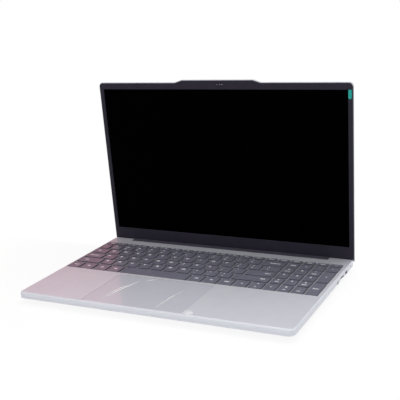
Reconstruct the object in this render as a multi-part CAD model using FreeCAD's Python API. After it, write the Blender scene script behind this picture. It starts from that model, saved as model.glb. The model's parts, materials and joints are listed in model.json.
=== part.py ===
"""Laptop computer with a number pad, built as an assembly of its separate pieces.

Millimetres, +Z up. The pieces are drawn with the base's front edge at y = 0 and the table at z = 0,
and the lid upright. At the end the lid is leaned to its open rest angle and everything is centred in y.
The keyboard sets the size of the base, and the base sets the size of the lid and its screen.
"""
import FreeCAD, Part
import math
import os

from FreeCAD import Vector

# Base: top case over a tapered bottom cover on rubber feet
deck_left_margin = 2.35
deck_right_margin = 5.95
deck_rear_margin = 22.95
palm_depth = 98.95
front_corner_radius = 8.0
rear_corner_radius = 4.0
foot_height = 1.6
bottom_height = 5.6
case_height = 7.0
case_wall = 1.5
case_edge_round = 2.0
bottom_wall = 1.3
bottom_edge_gap = 0.3
taper_front = 17.0
taper_side = 8.0
taper_rear = 6.0

# Lid: cover, bezel and display panel
lid_lean = 1.9
lid_gap = 0.8
lid_overhang = 1.75
lid_wall = 1.2
lid_rim = 0.8
lid_rim_setback = 0.4
lid_top_radius = 5.0
lid_edge_round = 1.6
lid_lip_front = 2.7
lid_lip_back = -1.8
bump_top_width = 101.0
bump_slope_width = 10.5
bump_height = 3.3
bezel_thickness = 1.2
bezel_gap = 0.15
bezel_bevel = 0.5
bezel_side = 6.05
bezel_top = 9.05
screen_bottom = 19.1
panel_border = 2.2
panel_thickness = 2.4
panel_back_gap = 0.4
panel_glass = 0.9
panel_tray_inset = 1.5

# Hinge: a bar across the lid's lower edge turns in a trough at the rear of the deck
hinge_drop = 3.2
hinge_setback = 3.5
hinge_ear = 31.95
bar_radius = 6.2
bar_top = 3.4
bar_bore_radius = 2.6
trough_gap = 0.4
trough_wall = 1.2
bar_seat_gap = 0.1
pin_radius = 1.6
pin_running_gap = 0.05
pin_wall_gap = 0.5
knuckle_radius = 2.6
bracket_length = 10.0
bracket_reach = 18.0
bracket_plate = 1.5
arm_block_radius = 2.3
arm_width = 14.0
arm_foot_length = 44.0
arm_foot_height = 7.5
arm_height = 13.5
arm_plate = 1.5
arm_end_gap = 2.0
slot_height = 2.2
cable_x = 40.0
cable_width = 10.0
cable_thickness = 0.4

# Keyboard: keys in a silver lattice over a support plate
key_gap = 2.9
arrow_gap = 0.7
key_well_margin = 1.2
key_top_rise = 0.2
key_height = 1.2
key_draft = 0.3
key_travel = 1.2
lattice_sink = 1.15
lattice_thickness = 0.9
lattice_gap = 0.45
lattice_flange = 0.8
lattice_fit_gap = 0.15
key_plate_thickness = 0.5
dome_radius = 2.4
dome_top_radius = 1.6
dome_height = 0.4
dome_press_gap = 0.1
main_function_count = 16
numpad_columns = 4
number_key_count = 12
upper_key_count = 12
home_key_count = 11
lower_key_count = 10
side_modifier_count = 3
bottom_row_pitch = 23.1
row_pitch = 18.95
function_row_pitch = 10.1
letter_pitch = 19.15
numpad_pitch = 17.46
backquote_width = 15.65
backspace_width = 33.91
tab_width = 23.9
caps_width = 28.2
left_shift_width = 37.2
modifier_pitch = 20.6
corner_modifier_width = 19.2
arrow_pitch = 19.48

# Touchpad
pad_field_offset = 87.65
pad_width = 133.75
pad_wall_gap = 0.4
pad_rear_strip = 5.35
pad_radius = 2.5
pad_gap = 0.3
pad_sink = 0.15
pad_thickness = 1.6
pad_click = 0.6
pad_bracket_gap = 0.75
pad_bracket_thickness = 0.8
pad_bracket_rim = 2.2
pad_pivot_inset = 1.4
pad_switch_radius = 3.0
pad_switch_inset = 11.0

# Inner pieces
standoff_height = 1.6
standoff_radius = 2.6
standoff_inset = 7.0
board_thickness = 1.2
board_fan_gap = 23.0
board_battery_gap = 20.0
board_bracket_gap = 4.4
board_step_width = 24.0
board_step_depth = 40.0
chip_height = 1.4
seat_gap = 0.3
fan_size = 62.0
fan_side_gap = 26.0
fan_wall = 0.8
fan_corner = 4.0
fan_height = 5.4
fan_inlet_radius = 20.0
fan_hub_radius = 11.0
fan_blade_length = 18.0
fan_blades = 11
fan_blade_thickness = 0.8
fan_blade_lean = 32.0
fan_shaft_radius = 1.0
fan_sleeve_radius = 2.4
fan_plate_gap = 0.4
fin_count = 11
fin_thickness = 0.5
fin_depth = 11.0
fin_rear_gap = 7.6
pipe_width = 8.0
pipe_thickness = 2.0
pipe_bend = 9.0
cpu_from_board_left = 70.0
cpu_from_board_rear = 37.0
cpu_size = 26.0
coil_size = 4.0
coil_count = 5
bridge_chip_from_board_left = 153.0
bridge_chip_from_board_front = 28.0
bridge_chip_size = 16.0
battery_side_gap = 10.0
battery_depth = 64.0
battery_front = 28.0
battery_height = 5.2
battery_cells = 4
battery_cell_gap = 1.6
battery_corner = 2.0
speaker_width = 34.0
speaker_depth = 32.0
speaker_front = 36.0
speaker_inset = 33.75
speaker_height = 5.4
speaker_corner = 3.0
speaker_driver_radius = 10.0
speaker_driver_height = 1.4
ssd_length = 80.0
ssd_width = 22.0
ssd_chips = 4
ssd_from_board_left = 50.0
memory_length = 69.6
memory_width = 30.0
memory_chips = 4
memory_rear_gap = 6.0
memory_cpu_gap = 13.0
wifi_length = 30.0
wifi_width = 22.0
wifi_chips = 2
card_thickness = 0.8
card_chip = 0.9
card_chip_gap = 3.0
card_holder_width = 5.0
card_front_gap = 4.0
card_spacing = 3.0
io_board_lead = 14.0
io_board_width = 22.0
io_plug_width = 8.0
io_plug_length = 24.0

# Ports in the side walls, placed from the rear of the base
port_depth = 15.75
port_top_gap = 0.1
port_gap = 0.15
port_setback = 0.3
port_shell = 0.3
usb_a_opening = (12.6, 4.6)
usb_c_opening = (8.4, 2.7)
hdmi_opening = (14.2, 4.5)
usb_a_tongue = (11.2, 1.6)
usb_a_tongue_gap = 0.7
tongue_setback = 4.0
usb_c_tongue = (6.7, 0.7)
hdmi_tongue = (11.4, 1.0)
jack_size = 5.0
jack_bore_radius = 1.8
jack_bore_depth = 11.0
inlet_size = 5.4
inlet_bore_radius = 2.3
inlet_bore_depth = 9.0
inlet_pin_radius = 0.8
usb_c_from_rear = 34.9
usb_a_right_from_rear = 52.9
jack_from_rear = 70.9
inlet_from_rear = 30.9
hdmi_from_rear = 50.9
usb_a_left_from_rear = 73.9

# Fasteners, feet, vents and small pieces
boss_radius = 2.5
boss_pilot_radius = 0.95
boss_bracket_gap = 2.0
boss_wall_gap = 3.2
boss_field_gap = 4.95
boss_front_y = 27.0
boss_inner_x = 40.0
screw_radius = 0.9
screw_hole_radius = 1.3
screw_head_radius = 2.1
screw_head_height = 0.9
screw_length = 5.0
screw_recess_radius = 2.4
screw_recess_depth = 1.0
foot_width = 8.0
foot_corner = 2.4
foot_edge = 0.5
foot_front_length = 42.0
foot_front_inset = 60.75
foot_front_gap = 3.0
foot_rear_inset = 53.75
foot_screw_gap = 1.8
vent_width = 2.4
vent_pitch = 5.4
vent_length = 44.0
vent_count = 7
exhaust_width = 3.0
exhaust_height = 2.6
exhaust_pitch = 4.8
exhaust_count = 11
speaker_vent_length = 20.0
speaker_vent_count = 4
bumper_length = 7.0
bumper_width = 2.4
bumper_corner = 0.7
bumper_height = 0.5
bumper_top_inset = 58.75
bumper_bottom_inset = 14.75
bumper_edge = 4.2
film_tab_width = 4.0
film_tab_length = 11.0
film_tab_radius = 1.8
film_tab_thickness = 0.25
camera_x = -4.0
camera_below_top = 5.9
camera_lens_radius = 1.3
camera_hole_gap = 0.3
camera_board_length = 44.0
camera_board_height = 5.0
camera_board_thickness = 1.2

# Sides of the polygons that stand for small round pieces
bore_side_count = 6
small_side_count = 8
large_side_count = 12

# How far cutting shapes reach past what they cut
over = 1.0
shape_margin = 5.0

# Keyboard field, and the base and lid that follow from it
main_width = backquote_width + number_key_count * letter_pitch + backspace_width
field_width = main_width + numpad_columns * numpad_pitch
base_width = deck_left_margin + field_width + deck_right_margin
base_half = base_width / 2
field_left = -base_half + deck_left_margin
field_right = field_left + field_width
pad_line = field_left + main_width
row_lines = [palm_depth, palm_depth + bottom_row_pitch]
for _ in range(4):
    row_lines.append(row_lines[-1] + row_pitch)
row_lines.append(row_lines[-1] + function_row_pitch)
base_depth = row_lines[-1] + deck_rear_margin
axis_y = base_depth - hinge_setback
lid_reach = axis_y + lid_overhang
screen_width = base_width - 2 * bezel_side
screen_height = lid_reach - screen_bottom - bezel_top
lid_thickness = bezel_thickness + panel_thickness + panel_back_gap + lid_wall
bar_half_length = base_half - hinge_ear

# Heights
case_z = foot_height + bottom_height
deck_z = case_z + case_height
deck_under_z = deck_z - case_wall
floor_z = foot_height + bottom_wall
axis_z = deck_z - hinge_drop
key_top_z = deck_z + key_top_rise
key_bottom_z = key_top_z - key_height
plate_top_z = key_bottom_z - key_travel - dome_press_gap - dome_height
plate_under_z = plate_top_z - key_plate_thickness
board_top_z = plate_under_z - standoff_height
board_under_z = board_top_z - board_thickness
port_top_z = plate_under_z - port_top_gap

# Lid and hinge lines
bezel_y = axis_y + lid_gap + hinge_drop
lid_back_y = bezel_y + lid_thickness
panel_y = bezel_y + bezel_thickness
lid_inner_y = lid_back_y - lid_wall
trough_radius = bar_radius + trough_gap
notch_half = bar_half_length + trough_gap
notch_y = axis_y - bar_radius
rear_wall_y = notch_y - bottom_wall
bracket_x = notch_half + case_wall + seat_gap
arm_inner_x = bar_half_length - arm_end_gap - arm_width

# Keyboard well and touchpad lines
well_left = field_left + key_gap / 2 - key_well_margin
well_right = field_right - key_gap / 2 + key_well_margin
well_front = row_lines[0] + key_gap / 2 - key_well_margin
well_rear = row_lines[-1] - key_gap / 2 + key_well_margin
pad_front = case_wall + pad_wall_gap + pad_bracket_rim + pad_gap
pad_depth = palm_depth - pad_front - pad_rear_strip
pad_left = field_left + pad_field_offset
pad_right = pad_left + pad_width
pad_rear = pad_front + pad_depth
pad_top_z = deck_z - pad_sink
pad_under_z = pad_top_z - pad_thickness
pad_bracket_z = pad_under_z - pad_bracket_gap

# Places of ports, screws, feet and inner pieces
usb_c_y = base_depth - usb_c_from_rear
usb_a_right_y = base_depth - usb_a_right_from_rear
jack_y = base_depth - jack_from_rear
inlet_y = base_depth - inlet_from_rear
hdmi_y = base_depth - hdmi_from_rear
usb_a_left_y = base_depth - usb_a_left_from_rear
boss_side_x = bracket_x + bracket_length + boss_bracket_gap + boss_radius
boss_middle_y = palm_depth - boss_field_gap
boss_rear_y = rear_wall_y - boss_wall_gap - boss_radius
boss_ys = (boss_front_y, boss_middle_y, boss_rear_y)
screw_points = [(side * boss_side_x, y) for side in (-1, 1) for y in boss_ys]
screw_points += [(-boss_inner_x, boss_rear_y), (boss_inner_x, boss_rear_y)]
foot_front_x = base_half - foot_front_inset
foot_front_y = taper_front + foot_front_gap + foot_width / 2
foot_rear_y = boss_rear_y - screw_recess_radius - foot_screw_gap - foot_width / 2
foot_rear_length = base_width - 2 * foot_rear_inset
speaker_x = base_half - speaker_inset
battery_half = speaker_x - speaker_width / 2 - battery_side_gap
battery_rear = battery_front + battery_depth
board_right = base_half - port_depth
board_front = battery_rear + board_battery_gap
board_rear = axis_y - bracket_reach - board_bracket_gap
fin_front = rear_wall_y - fin_rear_gap - fin_depth
fan_x = -board_right + io_board_width + fan_side_gap + fan_size / 2
fan_y = fin_front - seat_gap - fan_size / 2
board_left = fan_x + fan_size / 2 + board_fan_gap
board_step_x = board_left + board_step_width
board_step_y = board_front + board_step_depth
cpu_x = board_left + cpu_from_board_left
cpu_y = board_rear - cpu_from_board_rear
bridge_chip_x = board_left + bridge_chip_from_board_left
bridge_chip_y = board_front + bridge_chip_from_board_front
card_y = board_front + card_front_gap
ssd_x = board_left + ssd_from_board_left
wifi_x = ssd_x + ssd_length + card_spacing
memory_x = cpu_x + cpu_size / 2 + memory_cpu_gap
memory_y = board_rear - memory_rear_gap - memory_width
standoff_points = [(board_step_x + standoff_inset, board_front + standoff_inset),
                   (board_right - standoff_inset, board_front + standoff_inset),
                   (board_left + standoff_inset, board_rear - standoff_inset),
                   (board_right - standoff_inset, board_rear - standoff_inset)]
fan_reach = fan_size / 2 - standoff_inset
fan_points = [(fan_x + sx * fan_reach, fan_y + sy * fan_reach) for sx in (-1, 1) for sy in (-1, 1)]


# Drawing helpers
def box(x0, x1, y0, y1, z0, z1):
    return Part.makeBox(x1 - x0, y1 - y0, z1 - z0, Vector(x0, y0, z0))


def rod_x(y, z, radius, x0, x1):
    return Part.makeCylinder(radius, x1 - x0, Vector(x0, y, z), Vector(1, 0, 0))


def rod_z(x, y, radius, z0, z1):
    return Part.makeCylinder(radius, z1 - z0, Vector(x, y, z0), Vector(0, 0, 1))


def post_z(x, y, radius, z0, z1, sides=small_side_count):
    """Upright prism with a regular outline."""
    turns = [2 * math.pi * (i + 0.5) / sides for i in range(sides + 1)]
    points = [Vector(x + radius * math.cos(t), y + radius * math.sin(t), z0) for t in turns]
    return Part.Face(Part.makePolygon(points)).extrude(Vector(0, 0, z1 - z0))


def post_x(y, z, radius, x0, x1, sides=small_side_count):
    """Lying prism along x with a regular outline."""
    turns = [2 * math.pi * (i + 0.5) / sides for i in range(sides)]
    return side_profile([(y + radius * math.cos(t), z + radius * math.sin(t)) for t in turns], x0, x1)


def outline(corners, z=0.0):
    """Closed wire at height z through (x, y, radius) corners, each rounded by a tangent arc."""
    stops = []
    count = len(corners)
    for i, (x, y, radius) in enumerate(corners):
        here = Vector(x, y, z)
        back = (Vector(corners[i - 1][0], corners[i - 1][1], z) - here).normalize()
        ahead = (Vector(corners[(i + 1) % count][0], corners[(i + 1) % count][1], z) - here).normalize()
        half = back.getAngle(ahead) / 2
        if radius <= 0:
            stops.append((here, None, here))
            continue
        reach = radius / math.tan(half)
        middle = (back + ahead).normalize()
        crown = here + middle * (radius / math.sin(half) - radius)
        stops.append((here + back * reach, crown, here + ahead * reach))
    edges = []
    for i, (start, crown, end) in enumerate(stops):
        last = stops[i - 1][2]
        if last.distanceToPoint(start) > 1e-6:
            edges.append(Part.LineSegment(last, start).toShape())
        if crown is not None:
            edges.append(Part.Arc(start, crown, end).toShape())
    return Part.Wire(edges)


def rectangle(x0, x1, y0, y1, radius=0.0, z=0.0):
    return outline([(x0, y0, radius), (x1, y0, radius), (x1, y1, radius), (x0, y1, radius)], z)


def slab(wire, height):
    return Part.Face(wire).extrude(Vector(0, 0, height))


def upright(wire, y0, y1):
    """Solid from a wire drawn in x and z, standing between y0 and y1."""
    shape = slab(wire, y0 - y1)
    shape.rotate(Vector(0, 0, 0), Vector(1, 0, 0), 90)
    shape.translate(Vector(0, y0, 0))
    return shape


def side_profile(points, x0, x1):
    """Prism along x from (y, z) points."""
    wire = Part.makePolygon([Vector(x0, y, z) for y, z in points + points[:1]])
    return Part.Face(wire).extrude(Vector(x1 - x0, 0, 0))


def chamfered(x0, x1, y0, y1, corner, z=0.0):
    """Closed wire of a rectangle with cut corners."""
    points = [(x0 + corner, y0), (x1 - corner, y0), (x1, y0 + corner), (x1, y1 - corner)]
    points += [(x1 - corner, y1), (x0 + corner, y1), (x0, y1 - corner), (x0, y0 + corner)]
    return Part.makePolygon([Vector(x, y, z) for x, y in points + points[:1]])


def chamfered_at(x, y, length, width, corner, z=0.0):
    return chamfered(x - length / 2, x + length / 2, y - width / 2, y + width / 2, corner, z)


def tapered_box(x0, x1, y0, y1, z0, z1, draft):
    """Box whose four sides lean inward by the draft towards the top."""
    half_x = (x1 - x0) / 2
    half_y = (y1 - y0) / 2
    top_x = half_x - draft
    top_y = half_y - draft
    shape = Part.makeWedge(-half_x, 0, -half_y, -top_y, -top_x, half_x, z1 - z0, half_y, top_y, top_x)
    shape.rotate(Vector(0, 0, 0), Vector(1, 0, 0), 90)
    shape.translate(Vector((x0 + x1) / 2, (y0 + y1) / 2, z0))
    return shape


def fuse(shapes):
    return shapes[0].multiFuse(shapes[1:]).removeSplitter()


def mirror_x(shape):
    return shape.mirror(Vector(0, 0, 0), Vector(1, 0, 0))


# Key layout: spans along x in each row
def spans(start, widths):
    cells = []
    for width in widths:
        cells.append((start, start + width))
        start += width
    return cells


def key_cell(span, row, rows=1):
    return span[0], span[1], row_lines[row], row_lines[row + rows]


def key_layout():
    """Node name to the cells of its keys, from the space bar's row up."""
    bottom, lower, home, upper, number, function = range(6)
    space_left = field_left + corner_modifier_width + side_modifier_count * modifier_pitch
    arrows_left = pad_line - 2 * arrow_pitch
    space_right = arrows_left - side_modifier_count * modifier_pitch
    middle_y = (row_lines[bottom] + row_lines[lower]) / 2
    up_down = (arrows_left + arrow_pitch, pad_line)
    share = (key_gap - arrow_gap) / 2
    pad_columns = spans(pad_line, [numpad_pitch] * numpad_columns)
    main_function = [main_width / main_function_count] * main_function_count
    function_columns = spans(field_left, main_function) + pad_columns
    tab = (field_left, field_left + tab_width)
    caps = (field_left, field_left + caps_width)
    left_shift = (field_left, field_left + left_shift_width)
    rows = {upper: spans(tab[1], [letter_pitch] * upper_key_count),
            home: spans(caps[1], [letter_pitch] * home_key_count),
            lower: spans(left_shift[1], [letter_pitch] * lower_key_count)}
    number_keys = spans(field_left, [backquote_width] + [letter_pitch] * number_key_count)
    left_modifiers = [(field_left, field_left + corner_modifier_width)]
    left_modifiers += spans(left_modifiers[0][1], [modifier_pitch] * side_modifier_count)
    right_modifiers = spans(space_right, [modifier_pitch] * side_modifier_count)
    nodes = {
        "escape_key": [key_cell(function_columns[0], function)],
        "function_keys": [key_cell(span, function) for span in function_columns[1:-1]],
        "power_key": [key_cell(function_columns[-1], function)],
        "number_row_keys": [key_cell(span, number) for span in number_keys],
        "backspace_key": [key_cell((number_keys[-1][1], pad_line), number)],
        "tab_key": [key_cell(tab, upper)],
        "upper_letter_keys": [key_cell(span, upper) for span in rows[upper]],
        "backslash_key": [key_cell((rows[upper][-1][1], pad_line), upper)],
        "caps_lock_key": [key_cell(caps, home)],
        "home_letter_keys": [key_cell(span, home) for span in rows[home]],
        "enter_key": [key_cell((rows[home][-1][1], pad_line), home)],
        "left_shift_key": [key_cell(left_shift, lower)],
        "lower_letter_keys": [key_cell(span, lower) for span in rows[lower]],
        "right_shift_key": [key_cell((rows[lower][-1][1], pad_line), lower)],
        "left_modifier_keys": [key_cell(span, bottom) for span in left_modifiers],
        "space_bar": [key_cell((space_left, space_right), bottom)],
        "right_modifier_keys": [key_cell(span, bottom) for span in right_modifiers],
        "arrow_side_keys": [key_cell((arrows_left, arrows_left + arrow_pitch), bottom),
                            key_cell(pad_columns[0], bottom)],
        "arrow_up_key": [(up_down[0], up_down[1], middle_y - share, row_lines[lower])],
        "arrow_down_key": [(up_down[0], up_down[1], row_lines[bottom], middle_y + share)],
        "numpad_top_keys": [key_cell(span, number) for span in pad_columns],
        "numpad_digit_keys": [key_cell(span, row) for row in rows for span in pad_columns[:-1]],
        "numpad_zero_keys": [key_cell(span, bottom) for span in pad_columns[1:3]],
        "numpad_plus_key": [key_cell(pad_columns[3], home, 2)],
        "numpad_enter_key": [key_cell(pad_columns[3], bottom, 2)],
    }
    return nodes


def key_box(cell):
    """A key's own lower outline: its cell less half the gap all round."""
    x0, x1, y0, y1 = cell
    half = key_gap / 2
    return x0 + half, x1 - half, y0 + half, y1 - half


def keycap(cell):
    """Flat cap with leaning sides."""
    return tapered_box(*key_box(cell), key_bottom_z, key_top_z, key_draft)


def rubber_dome(cell):
    """Four-sided dome that ends just under the pressed key."""
    x0, x1, y0, y1 = key_box(cell)
    x = (x0 + x1) / 2
    y = (y0 + y1) / 2
    return tapered_box(x - dome_radius, x + dome_radius, y - dome_radius, y + dome_radius,
                       plate_top_z, plate_top_z + dome_height, dome_radius - dome_top_radius)


# Keyboard pieces
def keyboard_frame(cells):
    """Silver lattice in the deck's well, with a rim under the deck that stands on the support plate."""
    gap = lattice_fit_gap
    top_z = deck_z - lattice_sink
    low_z = top_z - lattice_thickness
    plate = box(well_left + gap, well_right - gap, well_front + gap, well_rear - gap, low_z, top_z)
    flange = lattice_flange
    rim_box = (well_left - flange, well_right + flange, well_front - flange, well_rear + flange)
    rim = box(*rim_box, plate_top_z, deck_under_z)
    inner = key_well_margin / 2
    rim = rim.cut(box(well_left + inner, well_right - inner, well_front + inner, well_rear - inner,
                      plate_top_z - over, deck_z))
    holes = []
    for cell in cells:
        x0, x1, y0, y1 = key_box(cell)
        g = lattice_gap
        holes.append(box(x0 - g, x1 + g, y0 - g, y1 + g, low_z - over, top_z + over))
    return plate.fuse(rim).cut(holes).removeSplitter()


def keyboard_plate():
    """Support plate under the keys, with standoffs for the board and the fan."""
    flange = lattice_flange
    plate = box(well_left - flange, well_right + flange, well_front - flange, well_rear + flange,
                plate_under_z, plate_top_z)
    points = standoff_points + fan_points
    return plate.multiFuse([post_z(x, y, standoff_radius, board_top_z, plate_under_z) for x, y in points])


# Casing of the base
def base_outline(inset, z):
    half = base_half - inset
    front = front_corner_radius - inset
    rear = rear_corner_radius - inset
    return outline([(-half, inset, front), (half, inset, front),
                    (half, base_depth - inset, rear), (-half, base_depth - inset, rear)], z)


def port_cut(side, y, width, height):
    """Clearance cut for a port through the left (-1) or right (+1) wall."""
    x0, x1 = sorted((side * board_right, side * (base_half + shape_margin)))
    half = width / 2 + port_gap
    return box(x0, x1, y - half, y + half, port_top_z - height - port_gap, port_top_z + port_gap)


def shell_size(opening):
    return opening[0] + 2 * port_shell, opening[1] + 2 * port_shell


def port_places():
    """Every port's side, place along the wall and outer size."""
    return [(1, usb_c_y) + shell_size(usb_c_opening), (1, usb_a_right_y) + shell_size(usb_a_opening),
            (1, jack_y, jack_size, jack_size), (-1, inlet_y, inlet_size, inlet_size),
            (-1, hdmi_y) + shell_size(hdmi_opening), (-1, usb_a_left_y) + shell_size(usb_a_opening)]


def top_case():
    case = slab(base_outline(0, case_z), case_height)
    rim = [edge for edge in case.Edges if edge.BoundBox.ZMin > deck_z - 1e-6]
    case = case.makeFillet(case_edge_round, rim)
    cavity = slab(base_outline(case_wall, case_z - over), case_height - case_wall + over)
    outer_trough = trough_radius + trough_wall
    end_wall = notch_half + case_wall
    cavity = cavity.cut(rod_x(axis_y, axis_z, outer_trough, -end_wall, end_wall))
    cavity = cavity.cut(box(-end_wall, end_wall, axis_y, base_depth + over,
                            case_z - 2 * over, deck_z + over))
    case = case.cut(cavity)
    case = case.cut(rod_x(axis_y, axis_z, trough_radius, -notch_half, notch_half))
    case = case.cut(box(-notch_half, notch_half, axis_y, base_depth + over, case_z - over, deck_z + over))
    case = case.cut(box(well_left, well_right, well_front, well_rear, case_z, deck_z + over))
    pad = rectangle(pad_left - pad_gap, pad_right + pad_gap, pad_front - pad_gap, pad_rear + pad_gap,
                    pad_radius + pad_gap, case_z)
    case = case.cut(slab(pad, case_height + over))
    pin_hole = post_x(axis_y, axis_z, pin_radius + pin_wall_gap, notch_half - over, end_wall + over)
    bracket_room = post_x(axis_y, axis_z, knuckle_radius + bar_seat_gap, end_wall,
                          bracket_x + bracket_length + seat_gap)
    cuts = [pin_hole, mirror_x(pin_hole), bracket_room, mirror_x(bracket_room)]
    cuts += [port_cut(*place) for place in port_places()]
    case = case.cut(cuts)
    bosses = []
    for x, y in screw_points:
        boss = post_z(x, y, boss_radius, floor_z, deck_under_z, bore_side_count)
        pilot = post_z(x, y, boss_pilot_radius, floor_z - over, floor_z + screw_length, bore_side_count)
        bosses.append(boss.cut(pilot))
    bracket_middle = bracket_x + bracket_length / 2
    bracket_top = axis_z - knuckle_radius + bracket_plate
    for x in (-bracket_middle, bracket_middle):
        bosses.append(post_z(x, boss_rear_y, boss_radius, bracket_top, deck_under_z))
    return case.multiFuse(bosses)


def bottom_shell(inset, z0, z1):
    """Tapered tray body, inset all round, between two heights of the bottom cover."""
    def ring(z):
        share = (case_z - z) / bottom_height
        half = base_half - bottom_edge_gap - inset - taper_side * share
        front = bottom_edge_gap + inset + taper_front * share
        rear = base_depth - bottom_edge_gap - inset - taper_rear * share
        return outline([(-half, front, front_corner_radius), (half, front, front_corner_radius),
                        (half, rear, rear_corner_radius), (-half, rear, rear_corner_radius)], z)
    return Part.makeLoft([ring(z0), ring(z1)], True, True)


def vent_slot(x, y, length):
    return box(x - length / 2, x + length / 2, y - vent_width / 2, y + vent_width / 2, 0, floor_z + over)


def bottom_cover():
    notch_x = notch_half + case_wall / 2
    notch = box(-notch_x, notch_x, notch_y, base_depth + over, 0, case_z + over)
    inner_notch = box(-notch_x - bottom_wall, notch_x + bottom_wall, rear_wall_y, base_depth + over,
                      0, case_z + 2 * over)
    outer = bottom_shell(0, foot_height, case_z).cut(notch)
    inner = bottom_shell(bottom_wall, floor_z, case_z + over).cut(inner_notch)
    cover = outer.cut(inner)
    cuts = []
    for x, y in screw_points:
        cuts.append(post_z(x, y, screw_hole_radius, 0, floor_z + over, bore_side_count))
        cuts.append(post_z(x, y, screw_recess_radius, 0, foot_height + screw_recess_depth))
    first = fan_y - vent_pitch * (vent_count - 1) / 2
    for i in range(vent_count):
        cuts.append(vent_slot(fan_x, first + i * vent_pitch, vent_length))
    first = fan_x - exhaust_pitch * (exhaust_count - 1) / 2
    exhaust_z = (floor_z + case_z) / 2
    for i in range(exhaust_count):
        x = first + i * exhaust_pitch - exhaust_width / 2
        cuts.append(box(x, x + exhaust_width, rear_wall_y - over, notch_y + over,
                        exhaust_z - exhaust_height / 2, exhaust_z + exhaust_height / 2))
    speaker_y = speaker_front + speaker_depth / 2
    first = speaker_y - vent_pitch * (speaker_vent_count - 1) / 2
    for x in (-speaker_x, speaker_x):
        for i in range(speaker_vent_count):
            cuts.append(vent_slot(x, first + i * vent_pitch, speaker_vent_length))
    cuts += [port_cut(*place) for place in port_places()]
    return cover.cut(cuts)


def rubber_feet():
    places = [(-foot_front_x, foot_front_y, foot_front_length),
              (foot_front_x, foot_front_y, foot_front_length),
              (0, foot_rear_y, foot_rear_length)]
    feet = []
    for x, y, length in places:
        sole = chamfered_at(x, y, length - 2 * foot_edge, foot_width - 2 * foot_edge, foot_corner)
        seat = chamfered_at(x, y, length, foot_width, foot_corner, foot_height)
        feet.append(Part.makeLoft([sole, seat], True, True))
    return Part.makeCompound(feet)


def bottom_screws():
    screws = []
    for x, y in screw_points:
        seat_z = foot_height + screw_recess_depth
        head = post_z(x, y, screw_head_radius, seat_z - screw_head_height, seat_z)
        shank = post_z(x, y, screw_radius, seat_z, floor_z + screw_length - seat_gap, bore_side_count)
        screws.append(head.fuse(shank))
    return Part.makeCompound(screws)


# Touchpad on its bracket
def touchpad():
    face = rectangle(pad_left, pad_right, pad_front, pad_rear, pad_radius, pad_under_z)
    return slab(face, pad_thickness)


def touchpad_bracket():
    """Tray under the touchpad, hung from the deck, with a pivot rib behind and a switch in front."""
    rim = pad_bracket_rim
    tray_z = pad_bracket_z - pad_bracket_thickness
    edge = rim + pad_gap
    outer = box(pad_left - edge, pad_right + edge, pad_front - edge, pad_rear + edge, tray_z, deck_under_z)
    well = box(pad_left - pad_gap, pad_right + pad_gap, pad_front - pad_gap, pad_rear + pad_gap,
               pad_bracket_z, deck_z)
    rib_y = pad_rear - pad_pivot_inset
    rib = box(pad_left, pad_right, rib_y, pad_rear + pad_gap, pad_bracket_z, pad_under_z)
    switch_y = pad_front + pad_switch_inset
    switch = post_z(pad_left + pad_width / 2, switch_y, pad_switch_radius, pad_bracket_z,
                    pad_under_z - pad_click)
    return fuse([outer.cut(well), rib, switch])


# Hinge pieces
def bar_profile(radius, top, x0, x1):
    """Round bar along x about the hinge axis, flat on top."""
    half = math.sqrt(radius ** 2 - top ** 2)
    front = Vector(x0, axis_y - half, axis_z + top)
    rear = Vector(x0, axis_y + half, axis_z + top)
    belly = Part.Arc(front, Vector(x0, axis_y, axis_z - radius), rear)
    wire = Part.Wire([belly.toShape(), Part.LineSegment(rear, front).toShape()])
    return Part.Face(wire).extrude(Vector(x1 - x0, 0, 0))


def slot_spans():
    """Where the hinge arms and the display cable leave the bar, along x."""
    side = seat_gap
    arms = [(arm_inner_x - side, arm_inner_x + arm_width + side)]
    arms.append((-arms[0][1], -arms[0][0]))
    return arms + [(cable_x - cable_width / 2 - side, cable_x + cable_width / 2 + side)]


def hinge_cover():
    bar = bar_profile(bar_radius, bar_top, -bar_half_length, bar_half_length)
    half = slot_height / 2
    slots = [box(x0, x1, axis_y, lid_back_y, axis_z - half, axis_z + half) for x0, x1 in slot_spans()]
    bore = post_x(axis_y, axis_z, bar_bore_radius, -bar_half_length - over, bar_half_length + over)
    return bar.cut([bore] + slots)


def hinge_arms():
    """Steel arms: a pin, a block inside the bar and a foot plate behind the bezel."""
    x0 = arm_inner_x
    x1 = x0 + arm_width
    pin = rod_x(axis_y, axis_z, pin_radius, x1, bracket_x + bracket_length)
    block = post_x(axis_y, axis_z, arm_block_radius, x0, x1)
    plate_y = lid_inner_y - seat_gap - arm_plate
    half = slot_height / 2 - seat_gap
    web = box(x0, x1, axis_y, plate_y + arm_plate, axis_z - half, axis_z + half)
    riser = box(x0, x1, plate_y, plate_y + arm_plate, axis_z - half, axis_z + arm_height)
    foot = box(x1 - arm_foot_length, x1, plate_y, plate_y + arm_plate,
               axis_z + arm_height - arm_foot_height, axis_z + arm_height)
    arm = fuse([block, pin, web, riser, foot])
    return Part.makeCompound([arm, mirror_x(arm)])


def hinge_brackets():
    """Steel brackets in the rear corners: a knuckle round the pin on a plate screwed under the deck."""
    x0 = bracket_x
    x1 = x0 + bracket_length
    plate_z = axis_z - knuckle_radius
    knuckle = post_x(axis_y, axis_z, knuckle_radius, x0, x1)
    plate = box(x0, x1, axis_y - bracket_reach, axis_y, plate_z, plate_z + bracket_plate)
    bore = rod_x(axis_y, axis_z, pin_radius + pin_running_gap, x0 - over, x1 + over)
    bracket = knuckle.fuse(plate).cut(bore)
    return Part.makeCompound([bracket, mirror_x(bracket)])


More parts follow.
